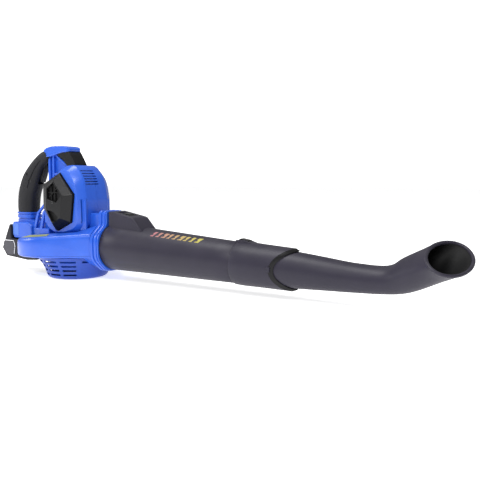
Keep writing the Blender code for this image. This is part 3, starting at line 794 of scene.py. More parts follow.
@dataclass
class FanScroll:
    """Snail housing of the fan, with its duct to the outlet, as a lower and an upper shell."""

    outlet_x: float = 84.0
    outlet_half: float = 46.0
    spiral: tuple[float, float, float, float] = (40.0, 84.0, 225.0, 116.0)
    floor: float = 45.0
    split: float = 49.0
    wall: float = 3.0
    rear_x: float = -118.0
    rear_roof: float = 81.0
    roof_slope: float = 0.0842
    steps: int = 44
    turn_steps: int = 16

    def roof(self, x: float) -> float:
        """Height of the sloping roof."""
        return self.rear_roof + (x - self.rear_x) * self.roof_slope

    def plan(self) -> list[Point2]:
        """Plan outline: a growing spiral, a rounded turn and a straight wall."""
        points = [(self.outlet_x, self.outlet_half)]
        from_angle, small, to_angle, large = self.spiral
        for i in range(self.steps + 1):
            share = i / self.steps
            angle = math.radians(from_angle + share * (to_angle - from_angle))
            radius = small + share * (large - small)
            points.append((radius * math.cos(angle), radius * math.sin(angle)))
        start, pull_a, pull_b, end = (Vector(p) for p in (points[-1], (-62, -102), (-16, -106), (10, -90.5)))
        for i in range(1, self.turn_steps + 1):
            t, u = i / self.turn_steps, 1 - i / self.turn_steps
            p = start * u**3 + pull_a * 3 * u * u * t + pull_b * 3 * u * t * t + end * t**3
            points.append((p.x, p.y))
        return points + [(self.outlet_x, -self.outlet_half)]

    def body(self, name: str, shrink: float, layers: Sequence[tuple[float, str, float]]) -> Piece:
        """Solid of the plan, ring by ring.

        Args:
            name: Its name.
            shrink: How far all of it stays inside the plan.
            layers: Inset, "floor" or "roof", and distance from there, from the bottom up.

        Returns:
            The solid.
        """
        rings = []
        for inset, datum, away in layers:
            outline = grown(self.plan(), -inset - shrink)
            heights = [self.floor + away if datum == "floor" else self.roof(x) - away for x, _ in outline]
            rings.append([Vector((x, y, z)) for (x, y), z in zip(outline, heights)])
        return solid(name, rings)

    @staticmethod
    def across(low: float, half: float, high: float, heights: Sequence[float]) -> list[Point2]:
        """Rounded eight-sided outline across the duct, from its half widths at four heights."""
        right = list(zip((low, half, half, high), heights))
        return rounded(right + [(-y, z) for y, z in reversed(right)], 9, 4)

    def duct(self, name: str, shrink: float, front: float) -> Piece:
        """Duct from the scroll to the outlet, which may reach further to the front."""
        s = shrink
        back = self.across(40 - s, 56 - s, 45 - s, (47 + s, 55 + s, 85 - s, 91 - s))
        mouth = self.across(20 - s / 2, 47 - s, 24 - s / 2, (20.5 + s, 45, 90, 110 - s))
        rings = [on_x(back, 30), on_x(mouth, self.outlet_x)]
        if front:
            rings.append(on_x(mouth, self.outlet_x + front))
        return solid(name, rings)

    def build(self) -> None:
        """Make both shells and the label strip on the roof."""
        skin = [
            (7, "floor", 0), (3.4, "floor", 0.7), (1.2, "floor", 2.6), (0, "floor", 6), (0, "roof", 13),
            (0.6, "roof", 9.4), (2.0, "roof", 6.4), (4.2, "roof", 4.6), (7, "roof", 3.8), (26, "roof", 0.2),
        ]
        hollow = [
            (0, "floor", self.wall), (0, "roof", 16), (1.5, "roof", 10), (4, "roof", 7.2), (23, "roof", 3.5),
        ]
        shell = self.body("fan_scroll", 0, skin)
        combine(shell, self.duct("duct", 0, 0), Cut.JOIN)
        cavity = self.body("scroll_cavity", self.wall, hollow)
        cut(cavity, block("bay_wall", (-200, -43, 0), (-77, 43, 75)))
        cut(shell, cavity, self.duct("duct_cavity", self.wall, 4),
            block("battery_bay", (-200, -39, 0), (-81, 39, 72)),
            solid("inlet", [circle(50, 64, 43), circle(50, 64, 50)]),
            solid("motor_opening", [circle(27.5, 48, 80), circle(27.5, 48, 110)]))
        lower, upper = parted(shell, ("scroll_lower", "scroll_upper"), (0, 0, self.split), (0, 0, 1), 0.2)
        lining = ((57, 19), (55.5, 46), (50.6, 46), (52.4, 19))
        bell = pipe("inlet_bell", [circle(radius, 96, z) for radius, z in lining])
        lower = joined("scroll_lower", [lower, bell])
        mount(finished(lower), Body.HOUSING, "blue_shell", BLUE, "volute_lower")
        mount(finished(upper), Body.HOUSING, "blue_shell", BLUE, "volute_upper")
        self.label()

    def label(self) -> None:
        """Plain strip stuck on the roof near its rim."""
        outer, inner = grown(self.plan(), -8.5)[38:62], grown(self.plan(), -25)[38:62]
        half = 0.3
        rings = []
        for (x0, y0), (x1, y1) in zip(outer, inner):
            low, high = self.roof(x0) - 3.5, self.roof(x1) - 0.35
            rings.append([Vector((x0, y0, low - half)), Vector((x0, y0, low + half)),
                          Vector((x1, y1, high + half)), Vector((x1, y1, high - half))])
        strip = solid("roof_label", rings)
        mount(strip, Body.HOUSING, "blue_shell", LABEL)


@dataclass
class OutletCollar:
    """Two rounded beads round the socket that takes the tube."""

    rear: float = 84.4
    front: float = 106.0
    bore: float = 45.4
    hump_half: float = 23.0
    top: float = 136.0
    beads: Sequence[Point2] = (
        (0, -1.6), (0.6, -0.2), (1.8, 0.5), (6.0, 0.5), (7.2, 0.0), (7.8, -1.8), (10.4, -1.8), (11.0, 0.0),
        (12.2, 0.5), (15.6, 0.5), (16.6, 0.0), (17.0, -1.3), (18.4, -1.3), (19.0, -0.1), (20.6, 0.2),
        (21.6, -0.8),
    )

    def outline(self) -> list[Point2]:
        """Outline across the flow, which follows the tube and its hump."""
        half, top = self.hump_half, self.top
        right = [(21, 19.5), (48, 44), (48, 89), (half, 110), (half, top - 4), (half - 4, top)]
        corners = right + [(-y, z) for y, z in reversed(right)]
        return rounded(corners, [9, 12, 12, 5, 3, 3, 3, 3, 5, 12, 12, 9], 4)

    def build(self) -> None:
        """Make the collar."""
        rings = [on_x(grown(self.outline(), grow), self.rear + along) for along, grow in self.beads]
        collar = solid("outlet_collar_shell", rings)
        bore = TubeLine.place(solid("bore", [TubeLine.ring(along, self.bore, 96) for along in (-60, 60)]))
        hollow = block("hump_hollow", (self.rear - 5, -17, 100), (self.front - 4, 17, self.top - 5))
        cut(collar, bore, hollow)
        mount(finished(collar, 30), Body.HOUSING, "blue_shell", BLUE, "outlet_collar")


class TubeLine:
    """The tube's own axis, which dips a little towards the nozzle."""

    root: Vector = Vector((106.4, 0.0, 66.5))
    dip: float = 2.3

    @classmethod
    def matrix(cls) -> Matrix:
        """From the tube's own axes to the tool's."""
        return Matrix.Translation(cls.root * MM) @ Matrix.Rotation(math.radians(cls.dip), 4, "Y")

    @classmethod
    def place(cls, piece: Piece) -> Piece:
        """Put a piece made on the tube's own axes in its place."""
        return placed(piece, cls.matrix())

    @staticmethod
    def ring(along: float, radius: float, steps: int = 72, scoop: float = 0.0) -> Ring:
        """Circle across the tube, set back at both sides by a scoop."""
        found = []
        for i in range(steps):
            t = 2 * math.pi * i / steps
            back = scoop * abs(math.sin(t)) ** 1.6
            found.append(Vector((along - back, radius * math.sin(t), radius * math.cos(t))))
        return found


# ---------------------------------------------------------------- motor housing and handle


@dataclass
class MotorHousing:
    """Drum round the motor with the handle's blue frame, as a left and a right shell."""

    centre: Point2 = (-6.0, 153.0)
    rim_half: float = 27.0
    seat_half: float = 44.0
    seat_scale: float = 0.85
    rim: Sequence[tuple[float, float, float]] = (
        # x, z, reach of the corner's arc
        (3, 223.5, 6), (26, 225.0, 6), (35, 219.5, 8), (51, 201.5, 14), (56.5, 178, 14), (60, 157, 3),
        (61, 108, 8), (48, 92, 12), (14, 82, 20), (-30, 82, 20), (-56, 112, 14), (-66, 139, 14),
        (-66, 184, 12), (-16, 208.5, 4),
    )
    vents: Sequence[Point2] = (
        # height, how far forward the slit starts
        (213.5, 37.0), (208.3, 40.6), (203.1, 44.2), (197.9, 46.5), (192.7, 47.9), (187.5, 49.2),
    )
    strut: Sequence[Point2] = ((-68, 150), (-66, 243), (-44, 248), (-4, 220), (-4, 200), (-40, 150))
    saddle: Sequence[Point2] = (
        (-77, 243.5), (-78, 254), (-66, 261), (-52, 263.9), (-18, 263.9), (-6, 262), (1, 257.5), (0, 252.5),
        (-8, 251), (-20, 250.5), (-38, 246.5), (-50, 243.5), (-66, 242.5),
    )

    def section(self, scale: float, y: float) -> Ring:
        """Outline of the drum at a distance from the middle plane."""
        corners = [(x, z) for x, z, _ in self.rim]
        outline = rounded(corners, [reach for _, _, reach in self.rim], 4)
        return on_y(scaled(outline, scale, self.centre), y)

    def drum(self) -> Piece:
        """Fat disc with bevelled sides, a rounded rim and a narrowed rear."""
        slope = (1 - self.seat_scale) / (self.seat_half - self.rim_half)
        side = [
            (self.seat_half, self.seat_scale - 0.012), (self.seat_half - 0.9, self.seat_scale + slope * 0.9),
            (self.rim_half + 2.2, 1 - slope * 2.2), (self.rim_half + 1.0, 0.9935),
            (self.rim_half - 0.6, 0.9995),
        ]
        stations = [(-y, s) for y, s in side] + [(y, s) for y, s in reversed(side)]
        rings = [self.section(s, y) for y, s in stations]
        drum = solid("drum", rings)
        for sense in (-1, 1):
            trimmed(drum, (-43.5, 44 * sense, 0), Vector((-0.84, 0.54 * sense, 0)).normalized())
        return drum

    def ribs(self) -> list[Piece]:
        """Raised ribs of the strut."""
        shapes = [
            [(-68.5, 150), (-66.3, 243), (-60.5, 245), (-61, 150)],
            [(-55.6, 150), (-54.6, 246), (-49.2, 247), (-49.4, 150)],
            [(-49, 247.4), (-44, 248), (-4, 221), (-4, 214.5)],
            [(-49, 205), (-49, 209.5), (-14, 210), (-16, 204)],
        ]
        return [slab(f"strut_rib_{i}", shape, 12, 1.0, 2) for i, shape in enumerate(shapes)]

    def cap(self) -> Piece:
        """Rounded blue cap over the top of the handle."""
        cap = slab("saddle", rounded(self.saddle, 4, 4), 18, 4.0, 4)
        plan = rounded([(-78, -18.5), (1.5, -18.5), (1.5, 18.5), (-78, 18.5)], 12, 8)
        low, high = ([Vector((x, y, z)) for x, y in plan] for z in (230, 280))
        return combine(cap, solid("saddle_plan", [low, high]), Cut.KEEP)

    def neck(self) -> Piece:
        """Neck under the grip, with two grooves round it."""
        foot, rise, groove = 100, 27, -2.2
        levels = [
            (foot, 0), (112.4, 0), (112.8, groove), (114.6, groove), (115.0, 0), (121.6, 0), (122.0, groove),
            (123.6, groove), (124.0, 0), (127.2, 0),
        ]
        rings = []
        for z, grow in levels:
            rear, front = -165 - (z - foot) * 3 / rise, -118 - (z - foot) * 4 / rise
            plan = rounded([(rear, -19), (front, -19), (front, 19), (rear, 19)], 13, 6)
            rings.append([Vector((x, y, z)) for x, y in grown(plan, grow)])
        return solid("neck", rings)

    def base(self) -> list[Piece]:
        """Platform, battery dock, web, ledge and gussets under the handle."""
        deck = [(-154, 84), (-154, 108), (-150, 110), (-84, 110), (-56, 96), (-50, 84)]
        seat = [(-156, 72.4), (-160, 80), (-160, 104), (-157, 107), (-112, 107), (-100, 100), (-100, 72.4)]
        platform, dock = slab("platform", deck, 19, 1.5), slab("dock", seat, 33, 2.5)
        web = slab("web", [(-98, 100), (-84, 135), (-60, 150), (-40, 130), (-40, 95)], 8, 0.8, 2)
        ledge = block("ledge", (-112, -28, 76), (-52, 28, 96), 1.5)
        edges = (((-102, 88), (-87.5, 128), (-62, 150)), ((-82, 88), (-70, 130), (-50, 145)))
        plates = []
        for sense in (-1, 1):
            for i, edge in enumerate(edges):
                outline = list(edge) + [(x + 6.5, z) for x, z in reversed(edge)]
                plates.append(prism(f"gusset_{i}", outline, *span(sense, 23.5, 27.5)))
        return [platform, dock, web, ledge, *plates]

    def cut_details(self, shell: Piece) -> None:
        """Vent slits, a groove beside each upright rib, the key's hole and room for the fan housing."""
        for i, (z, front) in enumerate(self.vents):
            cut(shell, block(f"slit_{i}", (front - 1.2, -25, z - 1.1), (front + 14, 9, z + 1.1)))
        for sense in (-1, 1):
            low, high = span(sense, 35.4, 38.2)
            cut(shell, block("rim_groove", (47, low, 112), (75, high, 158)))
        layers = [(0, "floor", -10), (0, "roof", 3.5), (7, "roof", 3.5), (26, "roof", -0.1)]
        cut(shell, block("key_hole", (-57.6, -7.6, 252), (-46.4, 7.6, 275)),
            FanScroll().body("scroll_room", -0.4, layers))

    def build(self) -> None:
        """Make both shells."""
        shell = self.drum()
        latch = block("latch_block", (50, -20, 100), (84, 20, 131), 3.0)
        strut = slab("strut", self.strut, 6.5)
        saddle = self.cap()
        uprights = []
        for sense in (-1, 1):
            low, high = span(sense, 29.4, 34.6)
            front = 62.4 if sense < 0 else 58.5
            uprights.append(block("front_rib", (46, low, 96), (front, high, 157.8), 1.6))
        for part in [strut, saddle, self.neck(), latch, *self.base(), *self.ribs(), *uprights]:
            combine(shell, part, Cut.JOIN)
        self.cut_details(shell)
        halves = parted(shell, ("housing_port_shell", "housing_starboard_shell"), (0, 0, 0), (0, -1, 0))
        for piece, node in zip(halves, ("housing_left", "housing_right")):
            mount(finished(piece, 28), Body.HOUSING, "blue_shell", BLUE, node)
        self.dock_panels()

    def dock_panels(self) -> None:
        """Plain lighter panel on each side of the battery dock."""
        outline = rounded([(-158.5, 79), (-158.5, 104), (-140, 104), (-140, 79)], 4, 4)
        panel = prism("dock_panel_right", outline, -32.6, -33.5)
        mount_pair(soften(panel, 0.4, 2), "dock_panel_left", Body.HOUSING, "blue_shell", BLUE_PALE)


@dataclass
class SideCover:
    """Faceted six-sided cover over the motor's end, with two sunk fields and a grille."""

    corners: Sequence[Point2] = ((5, 208), (42, 167), (34, 114), (-6, 96), (-41.5, 139), (-40.5, 187))
    top: Sequence[Point2] = ((2, 193.5), (26, 165), (17.5, 122), (-4.5, 111), (-21, 136.5), (-19, 180))
    centre: Point2 = (-2, 152)
    grille: Sequence[Point2] = ((1.5, 190), (23.5, 164.5), (8, 151.5), (-16.5, 158.5), (-16.5, 178.5))
    corner: Sequence[Point2] = ((-18, 136.2), (-2, 134.5), (13, 124), (9, 115.5), (-4.5, 113.5))
    seat: float = 44.4
    out: float = 60.5

    @staticmethod
    def field(name: str, outline: Sequence[Point2], low: float, high: float) -> Piece:
        """Prism of an outline between two distances from the middle plane, on the starboard side."""
        return prism(name, outline, -low, -high)

    def bars(self) -> list[Piece]:
        """Crossed bars of the grille and the floors of both sunk fields."""
        lines = [
            ((-15, 171), (18, 171)), ((4, 188), (4, 153)), ((-6, 184), (-6, 156)), ((-12, 162), (12, 181)),
        ]
        found = [self.field("grille_floor", grown(self.grille, 0.6), self.out - 6.5, self.out - 5.0),
                 self.field("corner_floor", grown(self.corner, 0.6), self.out - 6.5, self.out - 4.6)]
        for i, (start, end) in enumerate(lines):
            a, b = Vector(start), Vector(end)
            side = Vector((-(b - a).y, (b - a).x)).normalized() * 0.9
            outline = [tuple(a - side), tuple(b - side), tuple(b + side), tuple(a + side)]
            found.append(self.field(f"bar_{i}", outline, self.out - 5.4, self.out - 2.2))
            soften(found[-1], 0.35, 2)
        return found

    def build(self) -> None:
        """Make the starboard cover and its mirror image."""
        foot = scaled(self.corners, 0.985, self.centre)
        rings = [on_y(foot, -self.seat), on_y(self.corners, -(self.seat + 1.2)), on_y(self.corners, -48.6),
                 on_y(self.top, -self.out)]
        cover = solid("motor_cover_right", rings, 20)
        soften(cover, 1.0, 2, 12)
        for name, outline in (("grille_pit", self.grille), ("corner_pit", self.corner)):
            cut(cover, self.field(name, rounded(outline, 1.5, 2), self.out - 6.0, self.out + 5))
        finished(cover, 25)
        # The ring under the cover's edge and the grille's bars and floors are near-black: painted shade in
        # the seam and in the sunk fields.
        gap = self.field("cover_gap_right", grown(self.corners, 1.6), self.seat - 1.0, self.seat + 0.35)
        dark = joined("cover_grille_right", self.bars())
        for piece, name in ((dark, "cover_grille_left"), (gap, "cover_gap_left")):
            mount_pair(piece, name, Body.HOUSING, "black_plastic", SHADE_BLACK)
        mount(mirrored(cover, "motor_cover_left"), Body.HOUSING, "black_plastic", BLACK, "side_cover_left")
        mount(cover, Body.HOUSING, "black_plastic", BLACK, "side_cover_right")
        for name, sense in (("right", -1), ("left", 1)):
            self.screw(name, sense)

    def screw(self, name: str, sense: int) -> None:
        """Pan head with a cross slot near the middle of the cover."""
        x, z = self.centre
        outline = disc(self.centre, 2.8, 32)
        y = self.out - 0.8
        rings = [on_y(scaled(outline, s, self.centre), (y + d) * sense) for d, s in
                 ((-2, 1.0), (1.0, 1.0), (1.4, 0.82), (1.5, 0.5))]
        head = solid(f"cover_screw_head_{name}", rings)
        for turn in (False, True):
            w, h = (0.5, 2.0) if turn else (2.0, 0.5)
            low, high = span(sense, y + 0.4, y + 3)
            cut(head, block("cross", (x - w, low, z - h), (x + w, high, z + h)))
        mount(head, Body.HOUSING, "steel", DARK_STEEL, f"cover_screw_{name}")


@dataclass
class Handle:
    """Rubber rear grip in two halves with its screw wells, black front leg, trigger and speed key."""

    outer: Sequence[Point2] = (
        (-168, 127.6), (-169, 141), (-167, 163), (-160, 186), (-149, 206), (-130, 225.5), (-109, 241.5),
        (-90, 253.0), (-72, 258.0),
    )
    inner: Sequence[Point2] = (
        (-122, 127.6), (-121, 142), (-117, 163), (-110, 178), (-104, 191), (-95, 207), (-84, 222),
        (-69.6, 232), (-60, 240),
    )
    half: float = 19.0
    squareness: float = 2.5
    rings: int = 30
    around: int = 48
    leg: Sequence[Point2] = (
        (-38, 247.5), (-20, 251.5), (-8, 252.5), (-2, 253.5), (4, 246), (16, 227), (16, 205), (-2, 205),
        (-8, 226), (-20, 238),
    )
    screws: Sequence[Point2] = ((-93, 242), (-125, 208), (-119, 193))

    def section(self, outer: Sequence[float], inner: Sequence[float], grow: float) -> Ring:
        """Rounded section of the grip between two points of its outlines."""
        a, b = Vector(outer), Vector(inner)
        middle, reach = (a + b) / 2, (a - b) / 2
        length = reach.length + grow
        reach = reach.normalized()
        found = []
        for i in range(self.around):
            t = 2 * math.pi * i / self.around
            c, s = math.cos(t), math.sin(t)
            up = length * math.copysign(abs(c) ** (2 / self.squareness), c)
            out = (self.half + grow) * math.copysign(abs(s) ** (2 / self.squareness), s)
            spot = middle + reach * up
            found.append(Vector((spot.x, out, spot.y)))
        return found

    def grip(self) -> None:
        """Sweep the grip, open its trigger slot and part it in the middle."""
        outers, inners = along_curve(self.outer, self.rings), along_curve(self.inner, self.rings)
        rings = [self.section(outers[0], inners[0], -1.4)]
        rings += [self.section(a, b, 0) for a, b in zip(outers, inners)]
        rings[1] = self.section(along_curve(self.outer, 200)[1], along_curve(self.inner, 200)[1], 0)
        grip = solid("grip", rings, 50)
        cut(grip, block("trigger_slot", (-112, -6.8, 186), (-60, 6.8, 239)))
        for centre in self.screws:
            cut(grip, prism("screw_well", disc(centre, 3.2, 24), -30, -13.5))
        cut(grip, self.panel_groove())
        halves = parted(grip, ("grip_port", "grip_starboard"), (0, 0, 0), (0, -1, 0))
        for piece, node in zip(halves, ("rear_grip_left", "rear_grip_right")):
            mount(finished(piece, 40), Body.HOUSING, "soft_grip", RUBBER, node)

    def panel_groove(self) -> Piece:
        """Thin groove along the starboard side of the grip."""
        outer, inner = along_curve(self.outer, 40)[14:33], along_curve(self.inner, 40)[14:33]
        low, high = (
            [(x0 * share + x1 * (1 - share), z0 * share + z1 * (1 - share))
             for (x0, z0), (x1, z1) in zip(outer, inner)]
            for share in (0.30, 0.345)
        )
        return prism("panel_groove", low + high[::-1], -30, -17.4)

    def front_leg(self) -> None:
        """Black leg that joins the saddle to the drum."""
        leg = slab("front_leg", rounded(self.leg, 3, 3), 16, 3.2, 3)
        mount(finished(leg, 40), Body.HOUSING, "black_plastic", BLACK, "front_grip")

    def build(self) -> None:
        """Make every piece of the handle."""
        self.grip()
        self.front_leg()
        rocker = along_curve(((-99, 192), (-100.2, 200), (-97.5, 210), (-93, 222), (-91, 232)), 14)
        front = along_curve(((-86, 232.5), (-85.4, 226), (-86, 216), (-89.5, 204), (-96.5, 190)), 14)
        trigger = slab("trigger_rocker", [tuple(p) for p in rocker + front], 6.0, 1.6, 3)
        mount(trigger, Body.TRIGGER, "black_plastic", BLACK, "trigger")
        key = block("speed_rocker", (-57, -7, 254.4), (-47, 7, 265.1), 1.4)
        for k in range(3):
            x = -54.5 + 2.5 * k
            cut(key, block("key_rib", (x - 0.4, -5.6, 264.5), (x + 0.4, 5.6, 268)))
        mount(key, Body.SPEED_KEY, "black_plastic", BLACK, "speed_button")


# ---------------------------------------------------------------- tube and nozzle


@dataclass
class MainTube:
    """Long tube with its latch hump, front sleeve, buttons and a printed mark."""

    length: float = 286.0
    sleeve_end: float = 398.0
    scoop: float = 30.0
    root_radius: float = 45.6
    tip_radius: float = 35.6
    steps: int = 96

    def radius(self, along: float) -> float:
        """Outer radius of the tapering barrel."""
        return self.root_radius + (self.tip_radius - self.root_radius) * along / self.length

    def shell(self) -> Piece:
        """Tapered barrel and sleeve with a wall."""
        end, last = self.length, self.sleeve_end
        outer = [(-18, 44.4), (2.0, 44.6), (2.4, 45.2), (3.2, self.root_radius)]
        outer += [(along, self.radius(along)) for along in (40, 90, 143, 200, 250, 283)]
        outer += [(284.2, 35.0), (285.2, 35.0), (286.2, 36.9), (288, 37.4), (304, 37.5), (340, 36.2)]
        rings = [TubeLine.ring(s, r, self.steps) for s, r in outer]
        for share, r in ((0.55, 35.6), (0.9, 35.2), (0.985, 35.1)):
            rings.append(TubeLine.ring(340 + (last - 8 - 340) * share, r, self.steps, self.scoop * share))
        for ahead, r in ((-7.4, 35.0), (-6.6, 34.4), (-6.2, 33.2), (-0.6, 31.9), (0, 31.3), (-0.6, 30.9)):
            rings.append(TubeLine.ring(last + ahead, r, self.steps, self.scoop))
        rings.append(TubeLine.ring(last - 6, 30.8, self.steps, self.scoop * 0.95))
        for s, r in ((340, 31.4), (306, 32.0), (end, 33.6), (143, 38.4), (0, 43.0), (-18, 42.6)):
            rings.append(TubeLine.ring(s, r, self.steps))
        return pipe("tube_shell", rings, 30)

    def hump(self) -> Piece:
        """Rounded ridge behind the latch button, with a sunk field round it."""
        side = [
            (0.8, 34), (0.8, 67.6), (2.0, 69.0), (5, 69.3), (54, 62.4), (60.5, 61.2), (63.5, 59.4),
            (85, 38.4), (85, 34),
        ]
        ridge = slab("hump", side, 22, 4.0, 4)
        pit = slab("latch_pit", [(12, 66.2), (46, 61.4), (46, 80), (12, 80)], 11, 1.0, 2)
        well = block("button_well", (19.2, -7.6, 50), (44.8, 7.6, 80))
        core = solid("hump_core", [TubeLine.ring(-5, 43.4), TubeLine.ring(95, 40.2)])
        return cut(ridge, pit, well, core)

    def prints(self) -> None:
        """Row of plain slanted bars printed on the starboard side, in place of any wording."""
        bars = []
        first, pitch, count = 109.0, 12.2, 9
        for k in range(count):
            start = first + k * pitch
            width = 6.2 if k % 3 != 2 else 8.4
            rings = [self.bar_outline(start, width, lift) for lift in (-0.05, 0.12)]
            bars.append(solid(f"bar_{k}", rings))
        mark = TubeLine.place(joined("printed_bars", bars))
        mount(mark, Body.TUBE, "charcoal_tube", PRINT)

    def bar_outline(self, start: float, width: float, lift: float) -> Ring:
        """Outline of one leaning bar on the barrel.

        Args:
            start: Where its foot starts along the tube.
            width: Its width along the tube.
            lift: Distance from the barrel's skin.

        Returns:
            The ring.
        """
        near, far = [], []
        for step in range(7):
            share = step / 6
            angle = math.radians(21 + 19 * share)
            along = start + 5.0 * (1 - share)
            near.append(self.on_skin(along, angle, lift))
            far.append(self.on_skin(along + width, angle, lift))
        return near + far[::-1]

    def on_skin(self, along: float, angle: float, lift: float) -> Vector:
        """Point on the barrel, at an angle down the starboard side from the top."""
        r = self.radius(along) + lift
        return Vector((along, -r * math.sin(angle), r * math.cos(angle)))

    def buttons(self) -> None:
        """Latch button on the hump, release button on the sleeve and the seal round the tube's root."""
        side = [(20, 54), (20, 64.6), (23, 67.0), (40, 66.2), (44, 63), (44, 54)]
        latch = slab("tube_latch_key", side, 7, 1.2, 3)
        mount(TubeLine.place(latch), Body.TUBE_LATCH, "black_plastic", BLACK, "tube_latch_button")
        side = [(286.8, 36), (286.8, 40.6), (290, 42.2), (305.6, 40.6), (305.6, 36)]
        release = slab("nozzle_release_key", side, 6, 1.0)
        mount(TubeLine.place(release), Body.NOZZLE_RELEASE, "black_plastic", BLACK, "nozzle_release_button")
        square = ((-19.6, 44.2), (-18.4, 44.2), (-18.4, 42.6), (-19.6, 42.6))
        seal = pipe("tube_ring_seal", [TubeLine.ring(along, radius) for along, radius in square])
        mount(TubeLine.place(seal), Body.TUBE, "soft_grip", BLACK_WIRE, "tube_seal")

    def build(self) -> None:
        """Make every piece that slides with the tube."""
        shell = self.shell()
        hump = self.hump()
        cut(shell, block("hump_window", (12, -15, 38), (50, 15, 48)))
        side = rounded([(279, 33), (283, 39.6), (300, 40.2), (316, 36), (316, 33)], 1.5, 3)
        core = solid("bump_core", [TubeLine.ring(along, 34.4) for along in (270, 320)])
        well = block("key_well", (286.2, -6.4, 35.2), (306.2, 6.4, 60))
        bump = cut(slab("lock_bump", side, 9.5, 1.8), core, well)
        band = [
            (-7.0, 34.6), (-6.6, 35.3), (-5.6, 34.6), (-0.4, 32.4), (0.3, 31.4), (-0.6, 30.7), (-6.0, 30.9),
        ]
        rings = [TubeLine.ring(self.sleeve_end + s, r, self.steps, self.scoop) for s, r in band]
        # The band round the sleeve's rim is black while the tube is charcoal: painted shade on the rim's end
        # face and in the gap round the nozzle.
        rim = TubeLine.place(pipe("sleeve_rim", rings, 40))
        mount(rim, Body.TUBE, "charcoal_tube", BLACK)
        lug = block("rim_lug", (358, -37.0, -3.2), (364.5, -33.2, 5.4), 0.8)
        tube = TubeLine.place(joined("tube_barrel", [shell, hump, bump, lug]))
        mount(finished(tube, 30), Body.TUBE, "charcoal_tube", CHARCOAL, "main_tube")
        self.buttons()
        self.prints()


@dataclass
class CurvedNozzle:
    """Nozzle that narrows, rises and flares into a wide oval mouth."""

    turn: float = 14.0
    wall: float = 2.4
    lip_growth: float = 1.4
    lip_reach: int = 5
    steps: int = 72
    path: Sequence[Sequence[float]] = (
        # along, rise, half width, half height, lean of the section from square
        (358, 0, 30.4, 30.4, 0), (380, 0, 30.3, 30.3, 0), (402, 0, 29.6, 29.4, 0), (445, 0, 27.4, 26.2, 0),
        (493, 0, 24.6, 22.8, 0), (544, 3.5, 26.0, 20.9, 3), (574, 15, 32.0, 25.0, 20),
        (612, 36, 45.0, 26.4, 47), (634, 48.2, 60.0, 32.2, 71.5),
    )

    def section(self, place: Sequence[float], shrink: float, forward: float = 0.0) -> Ring:
        """Oval across the nozzle at one place of its path."""
        along, rise, width, height, lean = place
        tilt = math.radians(lean)
        found = []
        for i in range(self.steps):
            t = 2 * math.pi * i / self.steps
            across, up = (width - shrink) * math.cos(t), (height - shrink) * math.sin(t)
            point = Vector((along - up * math.sin(tilt) + forward * math.cos(tilt), across,
                            rise + up * math.cos(tilt) + forward * math.sin(tilt)))
            found.append(Matrix.Rotation(math.radians(self.turn), 3, "X") @ point)
        return found

    def build(self) -> None:
        """Make the nozzle with a thick rolled lip."""
        places = along_curve(self.path, 46)
        mouth = places[-1]
        rings = [self.section(p, 0) for p in places[:-1]]
        lip = [
            # how far inside the mouth, how far forward of it
            (-0.2, -1.6), (-1.0, 0.0), (-0.8, 1.2), (0.4, 2.2), (2.2, 2.4), (3.8, 1.6), (4.6, 0.2),
            (4.4, -2.0),
        ]
        rings += [self.section(mouth, shrink, forward) for shrink, forward in lip]
        inner = [self.section(p, wall) for p, wall in zip(places, self.walls(len(places) - 1))]
        rings += inner[::-1]
        nozzle = TubeLine.place(pipe("flared_nozzle", rings, 35))
        mount(nozzle, Body.NOZZLE, "charcoal_tube", CHARCOAL, "nozzle")
        # Painted shade: a near-black skin inside the nozzle.
        self.shade_skin(places)

    def walls(self, count: int) -> list[float]:
        """Wall at each section, growing over the last few towards the lip."""
        to_lip = range(count - 1, -1, -1)
        return [self.wall + self.lip_growth * max(0.0, 1 - steps / self.lip_reach) for steps in to_lip]

    def shade_skin(self, places: Sequence[Sequence[float]]) -> None:
        """Near-black skin just inside the nozzle's wall: painted shade in its bore and mouth.

        Args:
            places: The nozzle's sections from rear to mouth.
        """
        walls = self.walls(len(places) - 1)
        inner = [self.section(p, wall + 0.8) for p, wall in zip(places, walls)]
        outer = [self.section(p, wall - 0.1) for p, wall in zip(places, walls)]
        ends = [self.section(places[-1], 3.4, -0.4), self.section(places[-1], 2.3, -0.2)]
        rings = inner + ends + outer[::-1]
        skin = TubeLine.place(pipe("nozzle_liner", rings, 50))
        mount(skin, Body.NOZZLE, "charcoal_tube", SHADE_BLACK)


# ---------------------------------------------------------------- battery


